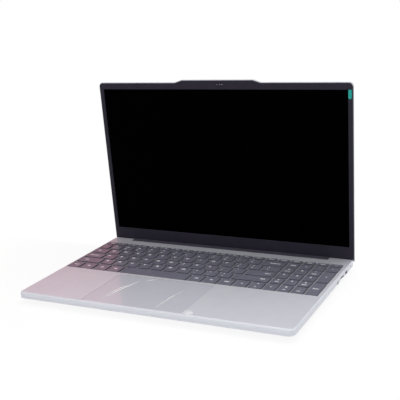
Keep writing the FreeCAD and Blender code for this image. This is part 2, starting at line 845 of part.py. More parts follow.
# Lid pieces, drawn upright behind the hinge axis
def lid_outline(inset, bottom):
    """Wire in x and z: rounded sheet with a raised camera bump along its top edge."""
    half = base_half - inset
    top = axis_z + lid_reach - inset
    low = axis_z + bottom
    radius = lid_top_radius - inset
    flat = bump_top_width / 2 - inset / 2
    foot = flat + bump_slope_width
    rise = top + bump_height
    return outline([(-half, low, 0), (half, low, 0), (half, top, radius),
                    (foot, top, 0), (flat, rise, 0), (-flat, rise, 0), (-foot, top, 0),
                    (-half, top, radius)])


def lid_cover():
    sheet = upright(lid_outline(0, lid_lip_back), bezel_y + lid_rim_setback, lid_back_y)
    back = [edge for edge in sheet.Edges if edge.BoundBox.YMin > lid_back_y - 1e-6]
    sheet = sheet.makeFillet(lid_edge_round, back)
    seat_wire = lid_outline(lid_rim, lid_lip_back - shape_margin)
    bezel_seat = upright(seat_wire, bezel_y - over, panel_y)
    pocket = upright(lid_outline(lid_rim, lid_lip_front + lid_rim), bezel_y - over, lid_inner_y)
    half = slot_height / 2
    gates = []
    for x0, x1 in slot_spans():
        gates.append(box(x0, x1, axis_y, lid_inner_y, axis_z - half, axis_z + arm_height))
    lip = [(bezel_y, axis_z + lid_lip_front), (bezel_y, axis_z + lid_lip_back - shape_margin),
           (lid_back_y, axis_z + lid_lip_back - shape_margin), (lid_back_y, axis_z + lid_lip_back)]
    reach = base_half + shape_margin
    lips = [side_profile(lip, notch_half, reach), side_profile(lip, -reach, -notch_half)]
    seat = bar_profile(bar_radius + bar_seat_gap, bar_top + bar_seat_gap, -notch_half, notch_half)
    front = box(-notch_half, notch_half, bezel_y - over, axis_y + bar_radius + bar_seat_gap,
                axis_z + lid_lip_back - over, axis_z + bar_top + bar_seat_gap)
    return sheet.cut([bezel_seat, pocket, seat, front] + gates + lips)


def bezel():
    inset = lid_rim + bezel_gap
    plate = upright(lid_outline(inset, lid_lip_front), bezel_y, panel_y)
    half = screen_width / 2
    low = axis_z + screen_bottom
    high = low + screen_height
    window = box(-half, half, bezel_y - over, panel_y + over, low, high)
    bevel = bezel_bevel
    slope = tapered_box(-half - bevel, half + bevel, -high - bevel, bevel - low,
                        bezel_y, bezel_y + bevel, bevel)
    slope.rotate(Vector(0, 0, 0), Vector(1, 0, 0), -90)
    over_bar = box(-notch_half, notch_half, bezel_y - over, panel_y + over,
                   axis_z, axis_z + bar_top + bar_seat_gap)
    lens_z = axis_z + lid_reach + bump_height - camera_below_top
    eye = Part.makeCylinder(camera_lens_radius + camera_hole_gap, 2 * bezel_thickness,
                            Vector(camera_x, bezel_y - bezel_thickness / 2, lens_z), Vector(0, 1, 0))
    return plate.cut([window, slope, over_bar, eye])


def lcd_panel():
    """Glass sheet in front of a slightly smaller metal tray."""
    half = screen_width / 2 + panel_border
    low = axis_z + screen_bottom - panel_border
    high = low + screen_height + 2 * panel_border
    glass = box(-half, half, panel_y, panel_y + panel_glass, low, high)
    tray_half = half - panel_tray_inset
    tray = box(-tray_half, tray_half, panel_y + panel_glass, panel_y + panel_thickness,
               low + panel_tray_inset, high - panel_tray_inset)
    return glass.fuse(tray)


def camera_module():
    lens_z = axis_z + lid_reach + bump_height - camera_below_top
    board = box(camera_x - camera_board_length / 2, camera_x + camera_board_length / 2,
                panel_y, panel_y + camera_board_thickness,
                lens_z - camera_board_height / 2, lens_z + camera_board_height / 2)
    lens = Part.makeCylinder(camera_lens_radius, bezel_thickness - seat_gap,
                             Vector(camera_x, bezel_y + seat_gap, lens_z), Vector(0, 1, 0))
    return board.fuse(lens)


def display_cable():
    """Flat cable from the panel's lower edge down and forward into the bar."""
    x0 = cable_x - cable_width / 2
    x1 = cable_x + cable_width / 2
    half = cable_thickness / 2
    drop_y = panel_y + panel_thickness - cable_thickness
    top = axis_z + screen_bottom - panel_border - seat_gap
    drop = box(x0, x1, drop_y, drop_y + cable_thickness, axis_z - half, top)
    lead = box(x0, x1, axis_y, drop_y + cable_thickness, axis_z - half, axis_z + half)
    return drop.fuse(lead).removeSplitter()


def bezel_bumpers():
    top_z = axis_z + lid_reach - bumper_edge
    low_z = axis_z + screen_bottom / 2
    pads = []
    for inset, z in ((bumper_top_inset, top_z), (bumper_bottom_inset, low_z)):
        for side in (-1, 1):
            x = side * (base_half - inset)
            wire = chamfered_at(x, z, bumper_length, bumper_width, bumper_corner)
            pads.append(upright(wire, bezel_y - bumper_height, bezel_y))
    return Part.makeCompound(pads)


def film_pull_tab():
    """Thin tab of the screen's protective film, at the screen's upper right corner."""
    left = screen_width / 2 + bezel_bevel
    high = axis_z + screen_bottom + screen_height
    low = high - film_tab_length
    right = left + film_tab_width
    wire = outline([(left, low, film_tab_radius), (right, low, film_tab_radius),
                    (right, high, 0), (left, high, 0)])
    return upright(wire, bezel_y - film_tab_thickness, bezel_y)


# Boards, cooling, battery and speakers
def mainboard():
    """Board outline with a bite for the fan side, mounting holes and the main chips below."""
    corners = [(board_step_x, board_front), (board_right, board_front), (board_right, board_rear),
               (board_left, board_rear), (board_left, board_step_y), (board_step_x, board_step_y)]
    wire = outline([(x, y, 0) for x, y in corners], board_under_z)
    board = slab(wire, board_thickness)
    chip_z = board_under_z - chip_height
    half = cpu_size / 2
    chips = [box(cpu_x - half, cpu_x + half, cpu_y - half, cpu_y + half, chip_z, board_under_z)]
    coil_pitch = (cpu_size - coil_size) / (coil_count - 1)
    coil_y = cpu_y + half + coil_size
    for i in range(coil_count):
        x = cpu_x - half + i * coil_pitch
        chips.append(box(x, x + coil_size, coil_y, coil_y + coil_size, chip_z, board_under_z))
    chips.append(box(bridge_chip_x, bridge_chip_x + bridge_chip_size, bridge_chip_y,
                     bridge_chip_y + bridge_chip_size, chip_z, board_under_z))
    return board.multiFuse(chips)


def io_board():
    """Small board on the left that carries the ports of that side."""
    left = -board_right
    front = usb_a_left_y - io_board_lead
    board = box(left, left + io_board_width, front, board_rear, board_under_z, board_top_z)
    plug_y = (front + board_rear) / 2
    plug = box(left + io_board_width - io_plug_width, left + io_board_width, plug_y - io_plug_length / 2,
               plug_y + io_plug_length / 2, board_top_z, plate_under_z)
    return board.fuse(plug)


def card(x0, y0, length, width, chips):
    """Plug-in card under the board: a thin sheet with chips, on a socket that reaches the board."""
    top = board_under_z - chip_height
    sheet = box(x0, x0 + length, y0, y0 + width, top - card_thickness, top)
    holder = box(x0, x0 + card_holder_width, y0, y0 + width, top, board_under_z)
    pitch = (length - card_holder_width) / chips
    packs = []
    for i in range(chips):
        x = x0 + card_holder_width + i * pitch
        packs.append(box(x, x + pitch - card_chip_gap, y0 + card_chip_gap, y0 + width - card_chip_gap,
                         top - card_thickness - card_chip, top - card_thickness))
    return sheet.multiFuse([holder] + packs)


def ssd_module():
    return card(ssd_x, card_y, ssd_length, ssd_width, ssd_chips)


def memory_module():
    return card(memory_x, memory_y, memory_length, memory_width, memory_chips)


def wifi_card():
    return card(wifi_x, card_y, wifi_length, wifi_width, wifi_chips)


def fan_housing():
    """Blower casing: a roof with the bearing sleeve, walls open to the fins, a floor with the inlet."""
    half = fan_size / 2
    top = board_top_z
    low = top - fan_height
    plan = chamfered_at(fan_x, fan_y, fan_size, fan_size, fan_corner, low)
    body = slab(plan, fan_height)
    inner = half - fan_wall
    room = box(fan_x - inner, fan_x + inner, fan_y - inner, fan_y + half + over,
               low + fan_wall, top - fan_wall)
    inlet = post_z(fan_x, fan_y, fan_inlet_radius, low - over, low + fan_wall + over, large_side_count)
    sleeve = post_z(fan_x, fan_y, fan_sleeve_radius, top - fan_height / 2, top)
    bore = rod_z(fan_x, fan_y, fan_shaft_radius + pin_running_gap, low - over, top - fan_wall / 2)
    return body.cut([room, inlet]).fuse(sleeve).cut(bore)


def fan_rotor():
    """Hub cup with leaning blades, on a shaft that runs in the casing's sleeve."""
    top = board_top_z - fan_wall - fan_plate_gap
    low = board_top_z - fan_height + fan_wall + fan_plate_gap
    hub = post_z(fan_x, fan_y, fan_hub_radius, low, top, large_side_count)
    hub = hub.cut(post_z(fan_x, fan_y, fan_sleeve_radius + 2 * fan_plate_gap, low + fan_wall, top + over))
    shaft = rod_z(fan_x, fan_y, fan_shaft_radius, low, board_top_z - fan_wall / 2 - fan_plate_gap)
    blades = []
    for i in range(fan_blades):
        blade = box(0, fan_blade_length, 0, fan_blade_thickness, low, top)
        blade.rotate(Vector(0, 0, 0), Vector(0, 0, 1), -fan_blade_lean)
        blade.translate(Vector(fan_hub_radius - fan_blade_thickness, 0, 0))
        blade.rotate(Vector(0, 0, 0), Vector(0, 0, 1), 360.0 * i / fan_blades)
        blade.translate(Vector(fan_x, fan_y, 0))
        blades.append(blade)
    return hub.multiFuse([shaft] + blades)


def heatsink_fins():
    """Comb of thin fins under one plate at the fan's outlet."""
    top = board_top_z
    low = top - fan_height
    y0 = fin_front
    pitch = (fan_size - fin_thickness) / (fin_count - 1)
    x0 = fan_x - fan_size / 2
    plate = box(x0, x0 + fan_size, y0, y0 + fin_depth, top - fan_wall, top)
    fins = []
    for i in range(fin_count):
        x = x0 + i * pitch
        fins.append(box(x, x + fin_thickness, y0, y0 + fin_depth, low + pipe_thickness, top - fan_wall))
    return plate.multiFuse(fins)


def heat_pipe():
    """Flat pipe from a copper plate on the processor to the underside of the fins."""
    top = board_top_z - fan_height + pipe_thickness
    low = top - pipe_thickness
    mid_y = fin_front + fin_depth / 2
    half = pipe_width / 2
    left = fan_x - fan_size / 2
    right = cpu_x
    inner_bend = pipe_bend - half
    outer_bend = pipe_bend + half
    wire = outline([(left, mid_y - half, 0), (right - half, mid_y - half, inner_bend),
                    (right - half, cpu_y, 0), (right + half, cpu_y, 0),
                    (right + half, mid_y + half, outer_bend), (left, mid_y + half, 0)], low)
    plate_half = cpu_size / 2
    plate = box(cpu_x - plate_half, cpu_x + plate_half, cpu_y - plate_half, cpu_y + plate_half,
                top, board_under_z - chip_height)
    return slab(wire, pipe_thickness).fuse(plate)


def battery_pack():
    """Flat cells side by side in a thin frame on the bottom cover."""
    half = battery_half
    frame_height = battery_height / 2
    frame = slab(chamfered(-half, half, battery_front, battery_rear, battery_corner, floor_z), frame_height)
    pitch = 2 * half / battery_cells
    cells = []
    for i in range(battery_cells):
        x0 = -half + i * pitch + battery_cell_gap / 2
        x1 = x0 + pitch - battery_cell_gap
        cell = chamfered(x0, x1, battery_front + battery_cell_gap, battery_rear - battery_cell_gap,
                         battery_corner, floor_z + frame_height)
        cells.append(slab(cell, battery_height - frame_height))
    return frame.multiFuse(cells)


def speakers():
    boxes = []
    for side in (-1, 1):
        x = side * speaker_x
        half = speaker_width / 2
        rear = speaker_front + speaker_depth
        wire = chamfered(x - half, x + half, speaker_front, rear, speaker_corner, floor_z)
        top = floor_z + speaker_height
        driver = post_z(x, (speaker_front + rear) / 2, speaker_driver_radius, top,
                        top + speaker_driver_height, large_side_count)
        boxes.append(slab(wire, speaker_height).fuse(driver))
    return Part.makeCompound(boxes)


# Ports, drawn for the right wall and mirrored for the left one
def trim_to_case(port):
    """The port's outer end, cut along the side of the base."""
    case = slab(base_outline(port_setback, case_z), case_height)
    return port.common(case.fuse(bottom_shell(port_setback, foot_height, case_z)))


def port_block(y, width, height):
    return box(board_right + seat_gap, base_half, y - width / 2, y + width / 2,
               port_top_z - height, port_top_z)


def socket(y, opening, tongue, tongue_rise=0.0):
    """Metal sleeve closed at the back, with a contact tongue inside."""
    width, height = shell_size(opening)
    x0 = board_right + seat_gap
    z = port_top_z - height / 2
    mouth = box(x0 + port_shell, base_half + over, y - opening[0] / 2, y + opening[0] / 2,
                z - opening[1] / 2, z + opening[1] / 2)
    tongue_z = z + tongue_rise
    blade = box(x0, base_half - tongue_setback, y - tongue[0] / 2, y + tongue[0] / 2,
                tongue_z - tongue[1] / 2, tongue_z + tongue[1] / 2)
    return trim_to_case(port_block(y, width, height).cut(mouth).fuse(blade))


def usb_a_ports():
    rise = usb_a_opening[1] / 2 - usb_a_tongue[1] / 2 - usb_a_tongue_gap
    right = socket(usb_a_right_y, usb_a_opening, usb_a_tongue, rise)
    left = mirror_x(socket(usb_a_left_y, usb_a_opening, usb_a_tongue, rise))
    return Part.makeCompound([right, left])


def usb_c_port():
    return socket(usb_c_y, usb_c_opening, usb_c_tongue)


def hdmi_port():
    return mirror_x(socket(hdmi_y, hdmi_opening, hdmi_tongue))


def round_port(y, size, bore_radius, bore_depth):
    bore = post_x(y, port_top_z - size / 2, bore_radius, base_half - bore_depth, base_half + over,
                  large_side_count)
    return port_block(y, size, size).cut(bore)


def audio_jack():
    return trim_to_case(round_port(jack_y, jack_size, jack_bore_radius, jack_bore_depth))


def dc_inlet():
    x0 = base_half - inlet_bore_depth - over
    pin = post_x(inlet_y, port_top_z - inlet_size / 2, inlet_pin_radius, x0, base_half - tongue_setback)
    body = round_port(inlet_y, inlet_size, inlet_bore_radius, inlet_bore_depth).fuse(pin)
    return mirror_x(trim_to_case(body))


# Assembly
lid_nodes = {
    "lid_cover": lid_cover,
    "bezel": bezel,
    "lcd_panel": lcd_panel,
    "hinge_cover": hinge_cover,
    "hinge_arms": hinge_arms,
    "camera_module": camera_module,
    "display_cable": display_cable,
    "bezel_bumpers": bezel_bumpers,
    "film_pull_tab": film_pull_tab,
}
base_nodes = {
    "top_case": top_case,
    "bottom_cover": bottom_cover,
    "rubber_feet": rubber_feet,
    "bottom_screws": bottom_screws,
    "keyboard_plate": keyboard_plate,
    "touchpad": touchpad,
    "touchpad_bracket": touchpad_bracket,
    "hinge_brackets": hinge_brackets,
    "mainboard": mainboard,
    "io_board": io_board,
    "ssd_module": ssd_module,
    "memory_module": memory_module,
    "wifi_card": wifi_card,
    "fan_housing": fan_housing,
    "fan_rotor": fan_rotor,
    "heatsink_fins": heatsink_fins,
    "heat_pipe": heat_pipe,
    "battery_pack": battery_pack,
    "speakers": speakers,
    "usb_a_ports": usb_a_ports,
    "usb_c_port": usb_c_port,
    "hdmi_port": hdmi_port,
    "audio_jack": audio_jack,
    "dc_inlet": dc_inlet,
}


def assemble():
    """Every node's shape at rest, centred in y about the whole."""
    shapes = {name: build() for name, build in base_nodes.items()}
    keys = key_layout()
    for name, cells in keys.items():
        caps = [keycap(cell) for cell in cells]
        shapes[name] = caps[0] if len(caps) == 1 else Part.makeCompound(caps)
    all_cells = [cell for cells in keys.values() for cell in cells]
    shapes["keyboard_frame"] = keyboard_frame(all_cells)
    shapes["rubber_domes"] = Part.makeCompound([rubber_dome(cell) for cell in all_cells])
    for name, build in lid_nodes.items():
        shape = build()
        shape.rotate(Vector(0, axis_y, axis_z), Vector(1, 0, 0), lid_lean)
        shapes[name] = shape
    boxes = [shape.optimalBoundingBox(False) for shape in shapes.values()]
    middle = (min(b.YMin for b in boxes) + max(b.YMax for b in boxes)) / 2
    for shape in shapes.values():
        shape.translate(Vector(0, -middle, 0))
    return shapes, middle


shapes, middle_y = assemble()
os.makedirs("parts", exist_ok=True)
for name, shape in shapes.items():
    shape.exportStep("parts/" + name + ".step")
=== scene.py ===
"""Laptop computer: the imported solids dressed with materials, rounded keys with legends and fine detail."""
import json
import math

import bmesh
import bpy
from mathutils import Matrix, Vector


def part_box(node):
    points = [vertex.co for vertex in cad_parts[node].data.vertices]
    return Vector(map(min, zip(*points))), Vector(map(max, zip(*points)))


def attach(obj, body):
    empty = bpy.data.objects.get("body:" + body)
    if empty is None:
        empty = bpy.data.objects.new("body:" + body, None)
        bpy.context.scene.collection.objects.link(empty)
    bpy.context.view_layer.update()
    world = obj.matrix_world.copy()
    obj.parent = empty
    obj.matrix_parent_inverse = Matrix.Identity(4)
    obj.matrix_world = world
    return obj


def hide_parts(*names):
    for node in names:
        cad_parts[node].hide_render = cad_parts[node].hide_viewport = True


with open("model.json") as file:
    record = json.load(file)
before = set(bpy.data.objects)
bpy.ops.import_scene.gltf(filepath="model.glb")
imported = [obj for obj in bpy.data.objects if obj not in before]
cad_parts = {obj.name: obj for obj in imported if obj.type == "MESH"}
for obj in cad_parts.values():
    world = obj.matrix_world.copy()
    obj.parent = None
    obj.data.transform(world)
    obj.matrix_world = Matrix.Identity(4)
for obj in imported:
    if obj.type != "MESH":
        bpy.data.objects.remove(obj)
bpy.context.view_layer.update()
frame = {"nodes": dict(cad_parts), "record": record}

nodes = frame["nodes"]
scene = bpy.context.scene
mm = 0.001

# Camera of the photograph: place in metres, angles in degrees, focal length and centre in pixels of 400
camera_place = Vector((0.43471, -0.82154, 0.35734))
camera_azimuth = 26.9987
camera_elevation = 18.1322
camera_roll = -3.4688
camera_focal = 785.69
camera_centre = (199.94, 245.05)
image_size = 400
sensor_width = 36.0
view_depth = 20.0

# Studio: the rays that see plain white; each lamp's place, target and size in metres and its power in watts;
# the floor, whose shadow fades out between two distances in metres; and the rose card's place and size
white = (1.0, 1.0, 1.0, 1.0)
white_rays = ("Is Camera Ray", "Is Glossy Ray", "Is Transmission Ray")
world_light = 0.37
lamps = {
    "overhead": ((-0.1, 0.6, 1.5), (0.0, -0.1, 0.0), (2.0, 1.4), 31.0),
    "front_left": ((-0.7, -1.1, 1.3), (0.0, -0.05, 0.05), (1.0, 0.8), 4.0),
    "front_right": ((0.9, -1.0, 1.3), (0.0, 0.0, 0.05), (0.8, 0.8), 4.0),
}
floor_half_size = 6.0
floor_tint = (0.93, 0.93, 0.93)
floor_shade = (0.92, 0.92, 0.92)
floor_blotch = 40.0
floor_roughness = 0.9
floor_shadow = 0.1
shadow_fade = (0.2, 0.42)
rose_tint = (0.52, 0.17, 0.21)
rose_place = (-0.4797, 0.113, 0.431)
rose_size = (0.6, 0.838)
rose_blotch = 3.0
rose_shade = 0.9

# Front edge of the top case: the solid's rounding and plan corner, the edge's depth and height as it shows,
# how round it is, from 0 for a flat slope to 1 for a full arc, and what tells its crisp edges and flat faces
case_edge = 2.0 * mm
case_corner = 8.0 * mm
front_edge = (4.2 * mm, 5.0 * mm)
front_edge_roundness = 0.7
case_tolerance = 0.01 * mm
case_sharp_angle = 25.0
case_flat_normal = 0.9999
weld_distance = 1e-6

# Materials: the noise's range and detail, the depth of the grain, the board's net of traces, the finishes
# with both ends of their colour, and the nodes that look different from their slot
noise_low = 0.3
noise_high = 0.7
drift_detail = 3.0
grain_detail = 2.0
grain_depth = 0.02 * mm
trace_scale = 420.0
trace_width = 0.08
trace_tint = (0.07, 0.2, 0.11)
mask_tint = (0.02, 0.09, 0.05)
mask_blotch = 800.0
mask_roughness = (0.3, 0.5)
finishes = {
    "silver_case": dict(tint=(0.70, 0.715, 0.775), shade=(0.675, 0.69, 0.75), roughness=0.43,
                        metallic=0.33),
    "silver_lid": dict(tint=(0.52, 0.53, 0.57), shade=(0.505, 0.515, 0.555), roughness=0.55, metallic=0.15,
                       specular=0.3),
    "silver_cover": dict(tint=(0.47, 0.48, 0.51), shade=(0.455, 0.465, 0.495), roughness=0.6, metallic=0.1,
                         specular=0.3),
    "key_plastic": dict(tint=(0.165, 0.165, 0.214), shade=(0.143, 0.143, 0.188), roughness=0.55,
                        grain=7000.0, bump=0.2, coat=0.8, coat_roughness=0.15),
    "bezel_plastic": dict(tint=(0.034, 0.03, 0.045), shade=(0.029, 0.026, 0.038), roughness=0.5,
                          specular=0.06, bump=0.2),
    "hinge_plastic": dict(tint=(0.085, 0.078, 0.105), shade=(0.07, 0.064, 0.09), roughness=0.5,
                          specular=0.15, bump=0.2),
    "screen_glass": dict(tint=(0.0001, 0.0001, 0.0001), shade=(0.00004, 0.00004, 0.00005), roughness=0.35,
                         specular=0.004, bump=0.02),
    "touchpad_face": dict(tint=(0.55, 0.567, 0.628), shade=(0.533, 0.55, 0.61), roughness=0.4, coat=1.0,
                          bump=0.03),
    "rubber": dict(tint=(0.035, 0.035, 0.036), shade=(0.025, 0.025, 0.026), roughness=0.75, bump=0.4),
    "steel": dict(tint=(0.5, 0.5, 0.51), shade=(0.42, 0.42, 0.43), roughness=0.35, metallic=1.0),
    "port_steel": dict(tint=(0.55, 0.55, 0.56), shade=(0.5, 0.5, 0.51), roughness=0.28, metallic=1.0),
    "black_plastic": dict(tint=(0.025, 0.025, 0.027), shade=(0.018, 0.018, 0.02), roughness=0.55, bump=0.3),
    "fin_aluminium": dict(tint=(0.7, 0.7, 0.71), shade=(0.6, 0.6, 0.61), roughness=0.3, metallic=1.0),
    "copper": dict(tint=(0.72, 0.36, 0.2), shade=(0.6, 0.28, 0.15), roughness=0.32, metallic=1.0),
    "tab_film": dict(tint=(0.026, 0.48, 0.42), shade=(0.019, 0.36, 0.32), roughness=0.35, specular=0.15,
                     blotch=900.0),
    # Keyboard frame: its own silver, darkened to paint the shade that falls in the gaps between the keys
    "lattice_painted_shade": dict(tint=(0.36, 0.37, 0.41), shade=(0.33, 0.34, 0.38), roughness=0.5, metallic=0.3),
    # Film folds: near white on real raised folds, a painted highlight for the glint of the clear film's
    # creases
    "film": dict(tint=(0.88, 0.88, 0.89), shade=(0.82, 0.82, 0.83), roughness=0.35, blotch=250.0),
    "film_sheet": dict(tint=(0.72, 0.73, 0.76), shade=(0.69, 0.7, 0.73), roughness=0.35, blotch=250.0),
    "lid_trim": dict(tint=(0.03, 0.038, 0.05), shade=(0.022, 0.028, 0.038), roughness=0.35),
    "eye_glass": dict(tint=(0.004, 0.004, 0.007), shade=(0.002, 0.002, 0.004), roughness=0.12, bump=0.02),
    "slider": dict(tint=(0.022, 0.02, 0.027), shade=(0.017, 0.015, 0.021), roughness=0.45, specular=0.15,
                   bump=0.2),
    "tongue_light": dict(tint=(0.55, 0.55, 0.56), shade=(0.5, 0.5, 0.51), roughness=0.45),
    "contact_gold": dict(tint=(0.72, 0.53, 0.25), shade=(0.66, 0.47, 0.2), roughness=0.3, metallic=1.0),
    "legend": dict(tint=(0.88, 0.88, 0.9), shade=(0.82, 0.82, 0.85), roughness=0.5),
}
node_looks = {
    # The keyboard frame takes the darkened silver: painted shade between the keys
    "keyboard_frame": "lattice_painted_shade",
    "bezel_bumpers": "bezel_plastic",
    "hinge_cover": "hinge_plastic",
    "lid_cover": "silver_lid",
}

# Key shape, with the homing bar's place as a share of the key's depth and its crown as a share of its foot
key_corner = 1.1 * mm
key_draft = 0.12 * mm
key_round = 0.25 * mm
key_round_steps = 3
key_dish = 0.05 * mm
key_dish_inset = 3 * key_round
corner_steps = 4
homing_bar = (3.6 * mm, 0.5 * mm, 0.14 * mm)
homing_bar_place = 0.2
homing_bar_corner = 0.4
homing_bar_crown = 0.5
homing_keys = {"home_letter_keys": (3, 6), "numpad_digit_keys": (4,)}

# Key legends: the text size for a capital letter one unit high, places from the key's centre in shares of
# half its size, heights in mm, and drawn marks in shares of their height, with arcs as start, end and steps
legend_lift = 0.02 * mm
legend_weight = 0.07
legend_text_size = 1.35
legend_resolution = 3
letter_spot = (-0.4, 0.38)
upper_spot = (-0.42, 0.48)
lower_spot = (-0.42, -0.38)
digit_spot = (0.0, 0.42)
caption_spot = (0.0, -0.35)
letter_height = 4.0
pair_height = 3.0
digit_height = 3.3
caption_height = 2.1
word_height = 2.5
function_height = 2.2
modifier_height = 3.0
sign_height = 2.8
mark_height = 3.2
diamond_height = 5.0
arrow_head = ((0.5, 0.0), (-0.35, 0.45), (-0.35, -0.45))
arrow_turns = {"right": 0, "up": 90, "left": 180, "down": 270}
diamond_radii = (0.27, 0.5)
diamond_arc = (0, 270, 3)
power_radii = (0.32, 0.45)
power_arc = (125, 415, 20)
power_bar = ((-0.07, 0.05), (0.07, 0.05), (0.07, 0.55), (-0.07, 0.55))

# Clear film on the touchpad: a fold's section in shares of its width and height, and the folds as points
# across and along the deck, with width and height, all in mm
film_lift = 0.03 * mm
fold_profile = [(-0.5, 0.0), (-0.2, 0.55), (0.0, 1.0), (0.15, 0.6), (0.5, 0.0)]
fold_steps = 8
fold_end = 0.02
film_folds = {
    "film_fold_main": ([(-68.7, -101.4), (-63.6, -91.0), (-60.2, -70.0), (-56.6, -57.3), (-53.7, -45.9),
                        (-51.5, -36.0)], 3.2, 0.4),
    "film_fold_twin": ([(-68.6, -93.5), (-65.7, -77.8), (-62.6, -64.0), (-58.4, -54.6)], 2.6, 0.35),
    "film_fold_rear": ([(-44.5, -37.6), (-37.4, -30.2), (-33.0, -25.6)], 2.4, 0.35),
    "film_fold_side": ([(9.7, -111.0), (9.3, -97.7), (10.7, -84.0), (12.1, -69.9), (14.9, -57.8),
                        (16.5, -46.0)], 2.0, 0.3),
}
film_tab_place = (51.6 * mm, -108.3 * mm)
film_tab_size = (12.5 * mm, 9.6 * mm, 0.1 * mm)
film_tab_turn = -35.0

# Lid details
lid_trim_lap = 0.85 * mm
lid_trim_depth = 2.5 * mm
lid_trim_proud = 0.1 * mm
lid_trim_setback = 0.3 * mm
lid_trim_edge = 0.2 * mm
lid_trim_runs = 6
lid_trim_turns = range(10, 71, 10)
lid_lip_slope = 0.9
lid_corner = 5.0 * mm
lid_bump = 3.3 * mm
bezel_face = 1.2 * mm
eye_depth = 0.3 * mm
lens_radius = 1.2 * mm
lens_crown = ((1.0, -0.05 * mm), (0.8, 0.0), (0.4, 0.07 * mm), (0.05, 0.09 * mm))
eye_ring = (1.25 * mm, 1.58 * mm)
eye_ring_edge = 0.02 * mm
eye_ring_top = 0.07 * mm
slider_place = 8.2 * mm
slider_size = (9.6 * mm, 1.7 * mm, 0.12 * mm)
# Light ticks on the slider, at these places along it and of this size: painted glints beside the lens
glint_tick_places = (-3.7 * mm, 0.5 * mm, 3.6 * mm)
glint_tick_size = (0.8 * mm, 1.2 * mm, 0.03 * mm)
microphone_places = (-15.0 * mm, 22.0 * mm)
microphone_radius = 0.35 * mm
# Microphone rim round a shallow dip; the near-black finish in the dip is painted shade for an open hole
microphone_profile = ((1.3, -0.1 * mm), (1.3, 0.03 * mm), (1.0, 0.04 * mm), (0.8, -0.08 * mm))
microphone_sides = 12

# Low rounded bars: rise and inset of the edge as shares of the height, end rounding as a share of the width;
# sides of a round piece; steps of a broken edge
bar_edge = 0.5
bar_bevel = 0.7
bar_end = 0.48
lathe_sides = 24
block_bevel_steps = 2

# Sockets: tongue width, thickness, rise above the middle, count of contacts and finish
tongues = {
    "usb_a_ports": (11.2 * mm, 1.6 * mm, 0.8 * mm, 4, "tongue_light"),
    "usb_c_port": (6.7 * mm, 0.7 * mm, 0.0, 6, "black_plastic"),
    "hdmi_port": (11.4 * mm, 1.0 * mm, 0.0, 9, "black_plastic"),
}
tongue_skin = 0.05 * mm
tongue_setback = 3.6 * mm
tongue_length = 9.0 * mm
tongue_bevel = 0.12 * mm
contact_length = 7.0 * mm
contact_setback = 0.5 * mm
contact_share = 0.28
contact_margin = 0.5
contact_skin = 0.05 * mm
contact_bevel = 0.02 * mm
jack_ring = (1.8 * mm, 2.4 * mm, 0.25 * mm)
jack_ring_depth = 3.0 * mm
jack_ring_edge = 0.5
jack_ring_land = (1.06, 0.96)
status_light = (97.5 * mm, 11.1 * mm)
status_light_size = (2.6 * mm, 0.9 * mm, 0.12 * mm)

# Screws
screw_head = 2.1 * mm
screw_head_edge = ((0.7, 0.0), (0.9, 0.08 * mm), (1.0, 0.3 * mm))
screw_shank = 0.9 * mm
screw_seat = 0.9 * mm
screw_point = 0.4 * mm
screw_point_share = 0.6
screw_cross = (1.15 * mm, 0.22 * mm, 0.45 * mm)
screw_cross_taper = 0.7


# Materials
def new_material(name):
    mat = bpy.data.materials.new(name)
    mat.use_nodes = True
    tree = mat.node_tree
    return mat, tree, tree.nodes["Principled BSDF"]


def add(tree, kind, **inputs):
    """New node with some of its inputs set by name, with _ for a space."""
    node = tree.nodes.new(kind)
    for key, value in inputs.items():
        node.inputs[key.replace("_", " ")].default_value = value
    return node


def noise(tree, scale, detail=drift_detail):
    """Noise over the object's own place, in metres."""
    coord = tree.nodes.new("ShaderNodeTexCoord")
    node = add(tree, "ShaderNodeTexNoise", Scale=scale, Detail=detail)
    tree.links.new(coord.outputs["Object"], node.inputs["Vector"])
    return node.outputs["Fac"]


def spread(tree, value, low, high):
    """Noise mapped to low..high."""
    node = add(tree, "ShaderNodeMapRange", From_Min=noise_low, From_Max=noise_high, To_Min=low, To_Max=high)
    tree.links.new(value, node.inputs["Value"])
    return node.outputs["Result"]


def mix_colors(tree, value, first, second):
    """Colour between two, by a value."""
    node = tree.nodes.new("ShaderNodeMix")
    node.data_type = "RGBA"
    node.inputs["A"].default_value = (*first, 1.0)
    node.inputs["B"].default_value = (*second, 1.0)
    tree.links.new(value, node.inputs["Factor"])
    return node.outputs["Result"]


def surface(name, tint, shade, roughness, metallic=0.0, specular=0.5, blotch=60.0, grain=5000.0, bump=0.12,
            rough_swing=0.06, coat=0.0, coat_roughness=0.08):
    """Moulded, painted or blasted surface: slow colour drift, fine grain in roughness and relief."""
    mat, tree, shader = new_material(name)
    drift = spread(tree, noise(tree, blotch), 0.0, 1.0)
    tree.links.new(mix_colors(tree, drift, tint, shade), shader.inputs["Base Color"])
    fine = noise(tree, grain, grain_detail)
    rough = spread(tree, fine, roughness - rough_swing, roughness + rough_swing)
    tree.links.new(rough, shader.inputs["Roughness"])
    relief = add(tree, "ShaderNodeBump", Strength=bump, Distance=grain_depth)
    tree.links.new(fine, relief.inputs["Height"])
    tree.links.new(relief.outputs["Normal"], shader.inputs["Normal"])
    shader.inputs["Metallic"].default_value = metallic
    shader.inputs["Specular IOR Level"].default_value = specular
    shader.inputs["Coat Weight"].default_value = coat
    shader.inputs["Coat Roughness"].default_value = coat_roughness
    return mat


